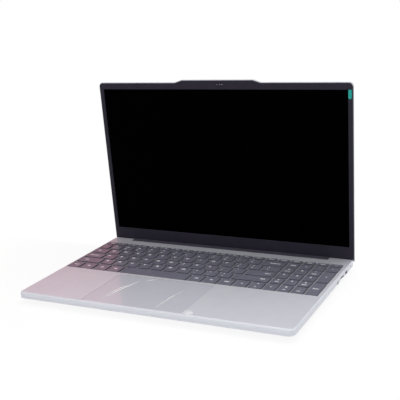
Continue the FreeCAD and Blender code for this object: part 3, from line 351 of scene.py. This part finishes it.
def board_material():
    """Solder mask with a faint net of traces."""
    mat, tree, shader = new_material("circuit_board")
    coord = tree.nodes.new("ShaderNodeTexCoord")
    cells = add(tree, "ShaderNodeTexVoronoi", Scale=trace_scale)
    cells.feature = "DISTANCE_TO_EDGE"
    tree.links.new(coord.outputs["Object"], cells.inputs["Vector"])
    lines = add(tree, "ShaderNodeMapRange", From_Max=trace_width)
    tree.links.new(cells.outputs["Distance"], lines.inputs["Value"])
    mixed = mix_colors(tree, lines.outputs["Result"], trace_tint, mask_tint)
    tree.links.new(mixed, shader.inputs["Base Color"])
    tree.links.new(spread(tree, noise(tree, mask_blotch), *mask_roughness), shader.inputs["Roughness"])
    return mat


def all_materials():
    materials = {name: surface(name, **finish) for name, finish in finishes.items()}
    materials["circuit_board"] = board_material()
    return materials


def dress_nodes(materials):
    """Each carried-over solid takes the material of its slot in the record, or a look of its own."""
    for entry in frame["record"]["subparts"]:
        mesh = nodes[entry["node"]].data
        mesh.materials.clear()
        mesh.materials.append(materials[entry["material_slot"]])
    for node, look in node_looks.items():
        nodes[node].data.materials[0] = materials[look]


# Mesh helpers
def solid_boxes(node):
    """Boxes (low, high) of a node's separate solids, rear rows first, left to right."""
    mesh = bmesh.new()
    mesh.from_mesh(nodes[node].data)
    bmesh.ops.remove_doubles(mesh, verts=mesh.verts, dist=weld_distance)
    left = set(mesh.verts)
    boxes = []
    while left:
        stack = [left.pop()]
        group = []
        while stack:
            vert = stack.pop()
            group.append(vert.co.copy())
            for edge in vert.link_edges:
                other = edge.other_vert(vert)
                if other in left:
                    left.remove(other)
                    stack.append(other)
        low = Vector([min(co[i] for co in group) for i in range(3)])
        high = Vector([max(co[i] for co in group) for i in range(3)])
        boxes.append((low, high))
    mesh.free()
    return sorted(boxes, key=lambda box: (-round(box[0].y / mm), box[0].x))


def ring_points(x0, x1, y0, y1, radius):
    """Points round a rounded rectangle."""
    points = []
    corners = [(x1 - radius, y1 - radius, 0), (x0 + radius, y1 - radius, 90),
               (x0 + radius, y0 + radius, 180), (x1 - radius, y0 + radius, 270)]
    for cx, cy, start in corners:
        for step in range(corner_steps + 1):
            angle = math.radians(start + 90 * step / corner_steps)
            points.append((cx + radius * math.cos(angle), cy + radius * math.sin(angle)))
    return points


def ring(mesh, x0, x1, y0, y1, radius, z):
    """Level loop of vertices round a rounded rectangle."""
    return [mesh.verts.new((x, y, z)) for x, y in ring_points(x0, x1, y0, y1, radius)]


def bridge(mesh, lower, upper):
    """Band of faces between two loops."""
    count = len(lower)
    for i in range(count):
        j = (i + 1) % count
        mesh.faces.new((lower[i], lower[j], upper[j], upper[i]))


def bridge_all(mesh, loops):
    """Bands of faces from each loop to the next."""
    for lower, upper in zip(loops, loops[1:]):
        bridge(mesh, lower, upper)


def cap_ends(mesh, loops):
    """Faces over the first and the last loop."""
    mesh.faces.new(list(reversed(loops[0])))
    mesh.faces.new(loops[-1])


def add_keycap(mesh, low, high):
    """Cap with leaning sides, rounded top edges and a faint dish."""
    rings = [(0.0, low.z), (key_draft, high.z - key_round)]
    for step in range(1, key_round_steps + 1):
        angle = math.radians(90 * step / key_round_steps)
        inset = key_draft + key_round * (1 - math.cos(angle))
        rings.append((inset, high.z - key_round * (1 - math.sin(angle))))
    rings.append((key_draft + key_dish_inset, high.z - key_dish))
    loops = []
    for inset, z in rings:
        loops.append(ring(mesh, low.x + inset, high.x - inset, low.y + inset, high.y - inset,
                          key_corner, z))
    bridge_all(mesh, loops)
    cap_ends(mesh, loops)


def add_homing_bar(mesh, low, high):
    """Small raised bar near the front of a key that the fingers find."""
    length, width, height = homing_bar
    x = (low.x + high.x) / 2
    y = low.y + homing_bar_place * (high.y - low.y)
    foot = ring(mesh, x - length / 2, x + length / 2, y - width / 2, y + width / 2,
                homing_bar_corner * width, high.z - 2 * key_dish)
    width *= homing_bar_crown
    length -= 2 * height
    crown = ring(mesh, x - length / 2, x + length / 2, y - width / 2, y + width / 2,
                 homing_bar_corner * width, high.z - key_dish + height)
    bridge(mesh, foot, crown)
    cap_ends(mesh, (foot, crown))


def finish_mesh(mesh, name, mat, smooth=True):
    """Object from a bmesh, with one material."""
    data = bpy.data.meshes.new(name)
    mesh.normal_update()
    for face in mesh.faces:
        face.smooth = smooth
    mesh.to_mesh(data)
    mesh.free()
    data.materials.append(mat)
    obj = bpy.data.objects.new(name, data)
    scene.collection.objects.link(obj)
    return obj


def add_piece(mesh, name, mat, body, smooth=True):
    """Object from a bmesh that rides on a body and takes its finish from a slot."""
    piece = finish_mesh(mesh, name, mat, smooth)
    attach(piece, body)
    return piece


# Top case
def front_lead(spot, low, high):
    """Distance in from the outline, the way out there and its share of straight ahead, or None."""
    reach_x = abs(spot.x) - (high.x - case_corner)
    reach_y = low.y + case_corner - spot.y
    if reach_y <= 0.0:
        return None
    side = math.copysign(max(reach_x, 0.0), spot.x)
    away = Vector((side, -reach_y, 0.0))
    return case_corner - away.length, away.normalized(), reach_y / away.length


def soft_edge(inset, drop):
    """Place on the wide front edge for a place on the solid's rounding, as inset and drop."""
    depth, height = front_edge
    rise = math.atan2(case_edge - drop, case_edge - inset) / math.radians(90)
    slope = Vector((rise * depth, (1.0 - rise) * height))
    arc = Vector((inset * depth / case_edge, drop * height / case_edge))
    return slope.lerp(arc, front_edge_roundness)


def build_case(materials):
    """Top case whose front edge has a wide soft rounding that narrows round the corners."""
    low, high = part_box("top_case")
    mesh = bmesh.new()
    mesh.from_mesh(nodes["top_case"].data)
    bmesh.ops.remove_doubles(mesh, verts=mesh.verts, dist=weld_distance)
    for vert in mesh.verts:
        lead = front_lead(vert.co, low, high)
        drop = high.z - vert.co.z
        if lead is None or drop > case_edge + case_tolerance:
            continue
        inset, out, ahead = lead
        if abs(math.hypot(case_edge - inset, case_edge - drop) - case_edge) < 2 * case_tolerance:
            new_inset, new_drop = soft_edge(inset, drop)
            move = -out * (new_inset - inset) - Vector((0.0, 0.0, new_drop - drop))
            vert.co += move * ahead * ahead
    piece = add_piece(mesh, "case_shell", materials["silver_case"], "base")
    piece.data.set_sharp_from_angle(angle=math.radians(case_sharp_angle))
    for face in piece.data.polygons:
        face.use_smooth = max(abs(part) for part in face.normal) < case_flat_normal
    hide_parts("top_case")


# Legend entries: rows of text or mark, place and height for each key
def at(text, spot, height):
    return [(text, *spot, height)]


def letter(text):
    return at(text, letter_spot, letter_height)


def pair(upper, lower):
    return at(upper, upper_spot, pair_height) + at(lower, lower_spot, pair_height)


def pad(digit, caption=""):
    return at(digit, digit_spot, digit_height) + at(caption, caption_spot, caption_height)


def word(text, x=0.0, height=word_height):
    return at(text, (x, 0.0), height)


def modifier(text):
    return word(text, height=modifier_height)


def mark(name, height=mark_height):
    return word(name, height=height)


function_words = ["F%d" % i for i in range(1, 13)] + ["PrtSc", "Insert", "Delete", "Home", "PgUp", "PgDn"]
number_pairs = ["~`", "!1", "@2", "#3", "$4", "%5", "^6", "&7", "*8", "(9", ")0", "_-", "+="]
legends = {
    "escape_key": [word("Esc")],
    "function_keys": [word(text, height=function_height) for text in function_words],
    "power_key": [mark("power")],
    "number_row_keys": [pair(text[0], text[1]) for text in number_pairs],
    "backspace_key": [word("Backspace", 0.1)],
    "tab_key": [word("Tab", -0.3)],
    "upper_letter_keys": [letter(text) for text in "QWERTYUIOP"] + [pair("{", "["), pair("}", "]")],
    "backslash_key": [pair("|", "\\")],
    "caps_lock_key": [word("Caps Lock", -0.15)],
    "home_letter_keys": [letter(text) for text in "ASDFGHJKL"] + [pair(":", ";"), pair('"', "'")],
    "enter_key": [word("Enter", 0.5)],
    "left_shift_key": [word("Shift", -0.4)],
    "lower_letter_keys": [letter(text) for text in "ZXCVBNM"]
                         + [pair("<", ","), pair(">", "."), pair("?", "/")],
    "right_shift_key": [word("Shift", 0.62)],
    "left_modifier_keys": [modifier("Ctrl"), modifier("Fn"), mark("diamond", diamond_height),
                           modifier("Alt")],
    "space_bar": [[]],
    "right_modifier_keys": [modifier("Alt"), modifier("Fn"), modifier("Ctrl")],
    "arrow_side_keys": [mark("left"), mark("right")],
    "arrow_up_key": [mark("up")],
    "arrow_down_key": [mark("down")],
    "numpad_top_keys": [word("Num")] + [word(text, height=sign_height) for text in "/*-"],
    "numpad_digit_keys": [pad("7", "Home"), pad("8"), pad("9", "PgUp"), pad("4"), pad("5"), pad("6"),
                          pad("1", "End"), pad("2"), pad("3", "PgDn")],
    "numpad_zero_keys": [pad("0", "Ins"), pad(".", "Del")],
    "numpad_plus_key": [modifier("+")],
    "numpad_enter_key": [word("Enter")],
}


def flat_row(mesh, points, centre, size):
    return [mesh.verts.new((centre.x + x * size, centre.y + y * size, centre.z)) for x, y in points]


def polygon(mesh, points, centre, size):
    mesh.faces.new(flat_row(mesh, points, centre, size))


def band(mesh, points_in, points_out, centre, size, closed):
    """Flat band between two rows of points."""
    inner = flat_row(mesh, points_in, centre, size)
    outer = flat_row(mesh, points_out, centre, size)
    count = len(inner)
    for i in range(count if closed else count - 1):
        j = (i + 1) % count
        mesh.faces.new((inner[i], outer[i], outer[j], inner[j]))


def circle_points(radius, start, end, steps):
    angles = [math.radians(start + (end - start) * i / steps) for i in range(steps + 1)]
    return [(radius * math.cos(a), radius * math.sin(a)) for a in angles]


def add_mark(mesh, name, centre, size):
    """Plain drawn mark: an arrow head, a diamond outline or the on-off sign."""
    if name in arrow_turns:
        turn = math.radians(arrow_turns[name])
        points = []
        for x, y in arrow_head:
            points.append((x * math.cos(turn) - y * math.sin(turn), x * math.sin(turn) + y * math.cos(turn)))
        polygon(mesh, points, centre, size)
    elif name == "diamond":
        inner, outer = [circle_points(radius, *diamond_arc) for radius in diamond_radii]
        band(mesh, inner, outer, centre, size, True)
    else:
        inner, outer = [circle_points(radius, *power_arc) for radius in power_radii]
        band(mesh, inner, outer, centre, size, False)
        polygon(mesh, power_bar, centre, size)


marks = (*arrow_turns, "diamond", "power")
text_meshes = {}


def text_mesh(text):
    """Flat mesh of a text at size one, made once for each text."""
    if text not in text_meshes:
        curve = bpy.data.curves.new("legend_text", "FONT")
        curve.body = text
        curve.align_x = "CENTER"
        curve.align_y = "CENTER"
        curve.resolution_u = legend_resolution
        curve.offset = legend_weight
        holder = bpy.data.objects.new("legend_text", curve)
        text_meshes[text] = bpy.data.meshes.new_from_object(holder)
        bpy.data.objects.remove(holder)
        bpy.data.curves.remove(curve)
    return text_meshes[text]


def add_legend(mesh, low, high, entries):
    """Texts and marks of one key, just over its top."""
    middle = (low + high) / 2
    half = (high - low) / 2
    for text, x, y, height in entries:
        centre = Vector((middle.x + x * half.x, middle.y + y * half.y, high.z + legend_lift))
        if text in marks:
            add_mark(mesh, text, centre, height * mm)
        elif text:
            place = Matrix.Translation(centre) @ Matrix.Scale(height * mm * legend_text_size, 4)
            start = len(mesh.verts)
            mesh.from_mesh(text_mesh(text))
            mesh.verts.ensure_lookup_table()
            for vert in mesh.verts[start:]:
                vert.co = place @ vert.co


def build_keys(materials):
    """Rounded caps in place of the plain key solids, and their legends."""
    for node, entries in legends.items():
        caps = bmesh.new()
        marks_mesh = bmesh.new()
        for index, ((low, high), entry) in enumerate(zip(solid_boxes(node), entries)):
            add_keycap(caps, low, high)
            add_legend(marks_mesh, low, high, entry)
            if index in homing_keys.get(node, ()):
                add_homing_bar(caps, low, high)
        cap = add_piece(caps, "caps_" + node, materials["key_plastic"], node)
        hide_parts(node)
        if len(marks_mesh.verts):
            add_piece(marks_mesh, "legend_" + node, materials["legend"], node, smooth=False)
        else:
            marks_mesh.free()


# Film on the touchpad
def spline_points(points, steps):
    """Smooth row of points through the given ones."""
    row = []
    for i in range(len(points) - 1):
        a = points[max(i - 1, 0)]
        b = points[i]
        c = points[i + 1]
        d = points[min(i + 2, len(points) - 1)]
        for step in range(steps):
            t = step / steps
            row.append(0.5 * (2 * b + (c - a) * t + (2 * a - 5 * b + 4 * c - d) * t * t
                              + (3 * b - a - 3 * c + d) * t * t * t))
    row.append(points[-1])
    return row


def add_fold(mesh, points, width, height, z):
    """Raised fold of film along a line, running out at both ends."""
    row = spline_points([Vector((x * mm, y * mm, z)) for x, y in points], fold_steps)
    loops = []
    for i, point in enumerate(row):
        along = (row[min(i + 1, len(row) - 1)] - row[max(i - 1, 0)]).normalized()
        across = Vector((-along.y, along.x, 0.0))
        share = i / (len(row) - 1)
        swell = max(math.sin(math.pi * share), fold_end)
        loops.append([mesh.verts.new(point + across * u * width * mm * swell
                                     + Vector((0, 0, v * height * mm * swell))) for u, v in fold_profile])
    bridge_all(mesh, loops)
    cap_ends(mesh, loops[::-1])


def build_film_folds(materials):
    """Folds in the clear film that still covers the touchpad, real ridges painted near white as their
    highlight.
    """
    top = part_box("touchpad")[1].z + film_lift
    for name, (points, width, height) in film_folds.items():
        mesh = bmesh.new()
        add_fold(mesh, points, width, height, top)
        add_piece(mesh, name, materials["film"], "touchpad")


def build_film_tab(materials):
    """Pull tab of the film, lying on the palm rest."""
    turn = math.radians(film_tab_turn)
    across = Vector((math.cos(turn), math.sin(turn), 0.0))
    out = Vector((0, 0, 1))
    place = Vector((*film_tab_place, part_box("top_case")[1].z))
    mesh = bmesh.new()
    pill(mesh, place, across, out.cross(across), out, film_tab_size)
    add_piece(mesh, "film_tab", materials["film_sheet"], "base")


# Small pieces
def lathe(mesh, centre, axis, profile, count=lathe_sides):
    """Round piece: profile rows of radius and height along the axis."""
    turn = Vector((0, 0, 1)).rotation_difference(axis).to_matrix()
    loops = []
    for radius, height in profile:
        loop = []
        for i in range(count):
            angle = 2 * math.pi * i / count
            spot = Vector((radius * math.cos(angle), radius * math.sin(angle), height))
            loop.append(mesh.verts.new(centre + turn @ spot))
        loops.append(loop)
    bridge_all(mesh, loops)
    return loops


def pill(mesh, place, across, up, out, size):
    """Low rounded bar lying on a face."""
    length, width, height = size
    loops = []
    for inset, rise in ((0.0, -height), (0.0, height * bar_edge), (height * bar_bevel, height)):
        outline = ring_points(-length / 2 + inset, length / 2 - inset, -width / 2 + inset, width / 2 - inset,
                              bar_end * width - inset)
        loops.append([mesh.verts.new(place + across * x + up * y + out * rise) for x, y in outline])
    bridge_all(mesh, loops)
    cap_ends(mesh, loops)


def lid_axes():
    """Directions up along the screen and out of it, and a point on the bezel's face."""
    face = max(nodes["lcd_panel"].data.polygons, key=lambda facet: facet.area)
    out = face.normal.copy()
    up = Vector((1, 0, 0)).cross(-out)
    return up.normalized(), out, face.center + out * bezel_face


def build_lens(materials, centre, out):
    """Low domed lens."""
    profile = [(lens_radius, -eye_depth)] + [(share * lens_radius, rise) for share, rise in lens_crown]
    mesh = bmesh.new()
    cap_ends(mesh, lathe(mesh, centre, out, profile))
    add_piece(mesh, "eye_lens", materials["eye_glass"], "lid")


def build_eye_ring(materials, centre, out):
    """Thin crowned ring round the lens."""
    inner, outer = eye_ring
    profile = [(inner, -eye_depth), (inner, eye_ring_edge), ((inner + outer) / 2, eye_ring_top),
               (outer, eye_ring_edge), (outer, -eye_depth)]
    mesh = bmesh.new()
    loops = lathe(mesh, centre, out, profile)
    bridge(mesh, loops[-1], loops[0])
    add_piece(mesh, "eye_ring", materials["slider"], "lid")


def build_slider(materials, middle, across, up, out):
    """Slider beside the lens, with light ticks on it that are painted glints."""
    mesh = bmesh.new()
    pill(mesh, middle, across, up, out, slider_size)
    add_piece(mesh, "eye_slider", materials["slider"], "lid")
    # Light ticks in the legend's white: painted glints on the slider
    mesh = bmesh.new()
    for place in glint_tick_places:
        spot = middle + across * place + out * slider_size[2]
        pill(mesh, spot, across, up, out, glint_tick_size)
    add_piece(mesh, "eye_slider_painted_glints", materials["legend"], "lid")


def build_microphones(materials, centre, across, out):
    """Two small rims round shallow near-black dips, painted shade for the dark of open holes."""
    profile = [(share * microphone_radius, rise) for share, rise in microphone_profile]
    mesh = bmesh.new()
    for place in microphone_places:
        cap_ends(mesh, lathe(mesh, centre + across * place, out, profile, microphone_sides))
    add_piece(mesh, "microphones", materials["eye_glass"], "lid")


def build_eye(materials):
    """Lens in its ring, slider with painted glints and microphones with painted shade in the raised strip
    over the screen.
    """
    up, out, face = lid_axes()
    across = Vector((1, 0, 0))
    low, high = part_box("camera_module")
    centre = (low + high) / 2
    centre += out * (face - centre).dot(out)
    build_lens(materials, centre, out)
    build_eye_ring(materials, centre, out)
    build_slider(materials, centre + across * slider_place, across, up, out)
    build_microphones(materials, centre, across, out)


def build_lid_trim(materials):
    """Dark edge strip of the bezel over both sides of the lid and round its upper corners."""
    up, out, face = lid_axes()
    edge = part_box("lid_cover")[1]
    foot = (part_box("bezel")[0].z - face.z) / up.z
    shoulder = (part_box("bezel")[1].z - face.z) / up.z - lid_bump - lid_corner
    front = -lid_trim_setback
    back = front - lid_trim_depth
    section = [(-lid_trim_lap, front - lid_trim_edge), (-lid_trim_lap, front),
               (lid_trim_proud - lid_trim_edge, front), (lid_trim_proud, front - lid_trim_edge),
               (lid_trim_proud, back), (-lid_trim_proud, back)]
    stations = [(0.0, foot + (shoulder - foot) * i / lid_trim_runs) for i in range(lid_trim_runs + 1)]
    stations += [(angle, shoulder) for angle in lid_trim_turns]
    for side, name in ((-1, "lid_trim_left"), (1, "lid_trim_right")):
        mesh = bmesh.new()
        loops = []
        for angle, rise in stations:
            lean = math.radians(angle)
            row = []
            for reach, depth in section:
                radius = lid_corner + reach
                drop = depth * lid_lip_slope if rise == foot else 0.0
                spot = face + up * (rise + drop + radius * math.sin(lean)) + out * depth
                x = side * (edge.x - lid_corner + radius * math.cos(lean))
                row.append(mesh.verts.new((x, spot.y, spot.z)))
            loops.append(row)
        bridge_all(mesh, loops)
        cap_ends(mesh, loops)
        bmesh.ops.recalc_face_normals(mesh, faces=mesh.faces)
        add_piece(mesh, name, materials["lid_trim"], "lid", smooth=False)


def add_block(mesh, low, high, bevel):
    """Box with all its edges broken."""
    made = bmesh.ops.create_cube(mesh, size=1.0)
    size = high - low
    middle = (low + high) / 2
    for vert in made["verts"]:
        vert.co = Vector((vert.co.x * size.x, vert.co.y * size.y, vert.co.z * size.z)) + middle
    edges = {edge for vert in made["verts"] for edge in vert.link_edges}
    bmesh.ops.bevel(mesh, geom=list(edges), offset=bevel, segments=block_bevel_steps, affect="EDGES",
                    profile=0.5)


def build_tongues(materials):
    """Plastic tongues with their rows of contacts inside the sockets."""
    for node, (width, thickness, rise, count, look) in tongues.items():
        sleeves = bmesh.new()
        strips = bmesh.new()
        for low, high in solid_boxes(node):
            side = 1 if high.x > 0 else -1
            mouth = max(abs(low.x), abs(high.x))
            y = (low.y + high.y) / 2
            z = (low.z + high.z) / 2 + rise
            half = thickness / 2 + tongue_skin
            tip = mouth - tongue_setback
            ends = sorted((side * (tip - tongue_length), side * tip))
            add_block(sleeves, Vector((ends[0], y - width / 2 - tongue_skin, z - half)),
                      Vector((ends[1], y + width / 2 + tongue_skin, z + half)), tongue_bevel)
            pitch = width / (count + contact_margin)
            reach = contact_share * pitch
            contact_tip = tip - contact_setback
            ends = sorted((side * (contact_tip - contact_length), side * contact_tip))
            for i in range(count):
                middle = y + (i - (count - 1) / 2) * pitch
                add_block(strips, Vector((ends[0], middle - reach, z - half - contact_skin)),
                          Vector((ends[1], middle + reach, z - half + contact_skin)), contact_bevel)
        add_piece(sleeves, "tongue_" + node, materials[look], "base", smooth=False)
        add_piece(strips, "contacts_" + node, materials["contact_gold"], "base", smooth=False)


def build_jack_ring(materials):
    """Ring in the mouth of the sound socket."""
    low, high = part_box("audio_jack")
    inner, outer, proud = jack_ring
    centre = Vector((high.x, (low.y + high.y) / 2, (low.z + high.z) / 2))
    mesh = bmesh.new()
    edge = jack_ring_edge * proud
    profile = [(inner, -jack_ring_depth), (inner, edge), (jack_ring_land[0] * inner, proud),
               (jack_ring_land[1] * outer, proud), (outer, edge), (outer, 0.0)]
    loops = lathe(mesh, centre, Vector((1, 0, 0)), profile)
    bridge(mesh, loops[-1], loops[0])
    add_piece(mesh, "jack_ring", materials["port_steel"], "base")


def build_status_light(materials):
    """Small light in the right wall, behind the sockets."""
    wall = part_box("top_case")[1].x
    mesh = bmesh.new()
    pill(mesh, Vector((wall, *status_light)), Vector((0, 1, 0)), Vector((0, 0, 1)), Vector((1, 0, 0)),
         status_light_size)
    add_piece(mesh, "status_light", materials["eye_glass"], "base")


def add_screw(mesh, low, high):
    """Low round head with a cross recess, on its shank."""
    x = (low.x + high.x) / 2
    y = (low.y + high.y) / 2
    centre = Vector((x, y, low.z))
    reach, half, depth = screw_cross
    length = high.z - low.z
    profile = [(share * screw_head, rise) for share, rise in screw_head_edge]
    profile += [(screw_head, screw_seat), (screw_shank, screw_seat), (screw_shank, length - screw_point),
                (screw_point_share * screw_shank, length)]
    loops = lathe(mesh, centre, Vector((0, 0, 1)), profile)
    mesh.faces.new(loops[-1])
    cross = [(half, half), (half, reach), (-half, reach), (-half, half), (-reach, half), (-reach, -half),
             (-half, -half), (-half, -reach), (half, -reach), (half, -half), (reach, -half), (reach, half)]
    mouth = [mesh.verts.new(centre + Vector((u, v, 0.0))) for u, v in cross]
    floor = [mesh.verts.new(centre + Vector((screw_cross_taper * u, screw_cross_taper * v, depth)))
             for u, v in cross]
    bridge(mesh, mouth, floor)
    mesh.faces.new(floor)
    rims = [mesh.edges.get((mouth[i], mouth[i - 1])) for i in range(len(mouth))]
    rims += [mesh.edges.get((loops[0][i], loops[0][i - 1])) for i in range(len(loops[0]))]
    bmesh.ops.bridge_loops(mesh, edges=rims)


def build_screws(materials):
    mesh = bmesh.new()
    for low, high in solid_boxes("bottom_screws"):
        add_screw(mesh, low, high)
    bmesh.ops.recalc_face_normals(mesh, faces=mesh.faces)
    piece = add_piece(mesh, "screws", materials["steel"], "base", smooth=False)
    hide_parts("bottom_screws")


# Floor, light and camera
def ray_share(tree, kinds):
    """1 for rays of these kinds, 0 for others."""
    path = tree.nodes.new("ShaderNodeLightPath")
    total = path.outputs[kinds[0]]
    for kind in kinds[1:]:
        join = tree.nodes.new("ShaderNodeMath")
        join.operation = "MAXIMUM"
        tree.links.new(total, join.inputs[0])
        tree.links.new(path.outputs[kind], join.inputs[1])
        total = join.outputs["Value"]
    return total


def build_world():
    """Soft light from all round; the background itself is white."""
    world = bpy.data.worlds.new("studio")
    world.use_nodes = True
    tree = world.node_tree
    scene.world = world
    light = tree.nodes["Background"]
    light.inputs["Color"].default_value = white
    light.inputs["Strength"].default_value = world_light
    backdrop = add(tree, "ShaderNodeBackground", Color=white, Strength=1.0)
    mix = tree.nodes.new("ShaderNodeMixShader")
    tree.links.new(ray_share(tree, white_rays), mix.inputs["Fac"])
    tree.links.new(light.outputs["Background"], mix.inputs[1])
    tree.links.new(backdrop.outputs["Background"], mix.inputs[2])
    tree.links.new(mix.outputs["Shader"], tree.nodes["World Output"].inputs["Surface"])


def floor_material():
    """White paper that keeps a faint shadow near the object and runs into the white background."""
    mat, tree, shader = new_material("floor_paper")
    grain = spread(tree, noise(tree, floor_blotch), 0.0, 1.0)
    tree.links.new(mix_colors(tree, grain, floor_tint, floor_shade), shader.inputs["Base Color"])
    shader.inputs["Roughness"].default_value = floor_roughness
    shader.inputs["Specular IOR Level"].default_value = 0.0
    coord = tree.nodes.new("ShaderNodeTexCoord")
    length = tree.nodes.new("ShaderNodeVectorMath")
    length.operation = "LENGTH"
    tree.links.new(coord.outputs["Object"], length.inputs[0])
    near, far = shadow_fade
    reach = add(tree, "ShaderNodeMapRange", From_Min=near, From_Max=far, To_Min=1.0 - floor_shadow)
    tree.links.new(length.outputs["Value"], reach.inputs["Value"])
    share = tree.nodes.new("ShaderNodeMath")
    share.operation = "MULTIPLY"
    tree.links.new(reach.outputs["Result"], share.inputs[0])
    tree.links.new(ray_share(tree, white_rays), share.inputs[1])
    glow = add(tree, "ShaderNodeEmission", Strength=1.0)
    mix = tree.nodes.new("ShaderNodeMixShader")
    tree.links.new(share.outputs["Value"], mix.inputs["Fac"])
    tree.links.new(shader.outputs["BSDF"], mix.inputs[1])
    tree.links.new(glow.outputs["Emission"], mix.inputs[2])
    tree.links.new(mix.outputs["Shader"], tree.nodes["Material Output"].inputs["Surface"])
    return mat


def build_floor():
    mesh = bmesh.new()
    bmesh.ops.create_grid(mesh, x_segments=2, y_segments=2, size=floor_half_size)
    finish_mesh(mesh, "floor", floor_material(), smooth=False)


def build_rose_card():
    """Rose card beside the lid's left edge that tints and shades the left of the deck, unseen itself."""
    mat, tree, shader = new_material("rose_card")
    tint = spread(tree, noise(tree, rose_blotch), 0.0, 1.0)
    mixed = mix_colors(tree, tint, rose_tint, tuple(rose_shade * part for part in rose_tint))
    tree.links.new(mixed, shader.inputs["Emission Color"])
    shader.inputs["Emission Strength"].default_value = 1.0
    shader.inputs["Base Color"].default_value = (0.0, 0.0, 0.0, 1.0)
    mesh = bmesh.new()
    # One metre square, scaled to the card's size
    bmesh.ops.create_grid(mesh, x_segments=2, y_segments=2, size=0.5)
    card = finish_mesh(mesh, "rose_card", mat, smooth=False)
    card.scale = (*rose_size, 1.0)
    card.location = rose_place
    card.rotation_euler = (math.radians(90), 0.0, 0.0)
    card.visible_camera = False


def area_light(name, place, target, size, power):
    """Soft lamp that lights the object but doesn't show in reflections."""
    data = bpy.data.lights.new(name, "AREA")
    data.shape = "RECTANGLE"
    data.size, data.size_y = size
    data.energy = power
    lamp = bpy.data.objects.new(name, data)
    lamp.location = place
    lamp.rotation_euler = (Vector(target) - Vector(place)).to_track_quat("-Z", "Y").to_euler()
    lamp.visible_glossy = False
    scene.collection.objects.link(lamp)


def build_lights():
    for name, (place, target, size, power) in lamps.items():
        area_light(name, place, target, size, power)


def build_camera():
    data = bpy.data.cameras.new("camera")
    data.sensor_width = sensor_width
    data.lens = sensor_width * camera_focal / image_size
    data.shift_x = (image_size / 2 - camera_centre[0]) / image_size
    data.shift_y = (camera_centre[1] - image_size / 2) / image_size
    data.clip_end = view_depth
    azimuth = math.radians(camera_azimuth)
    elevation = math.radians(camera_elevation)
    roll = math.radians(camera_roll)
    ahead = Vector((-math.sin(azimuth) * math.cos(elevation), math.cos(azimuth) * math.cos(elevation),
                    -math.sin(elevation)))
    level = ahead.cross(Vector((0, 0, 1))).normalized()
    above = level.cross(ahead)
    right = level * math.cos(roll) + above * math.sin(roll)
    up = above * math.cos(roll) - level * math.sin(roll)
    camera = bpy.data.objects.new("camera", data)
    camera.matrix_world = Matrix((right, up, -ahead)).transposed().to_4x4()
    camera.location = camera_place
    scene.collection.objects.link(camera)
    scene.camera = camera


scene.view_settings.view_transform = "Standard"
build_camera()
build_world()
build_floor()
build_rose_card()
build_lights()
looks = all_materials()
dress_nodes(looks)
build_case(looks)
build_keys(looks)
build_film_folds(looks)
build_film_tab(looks)
build_eye(looks)
build_lid_trim(looks)
build_tongues(looks)
build_jack_ring(looks)
build_status_light(looks)
build_screws(looks)
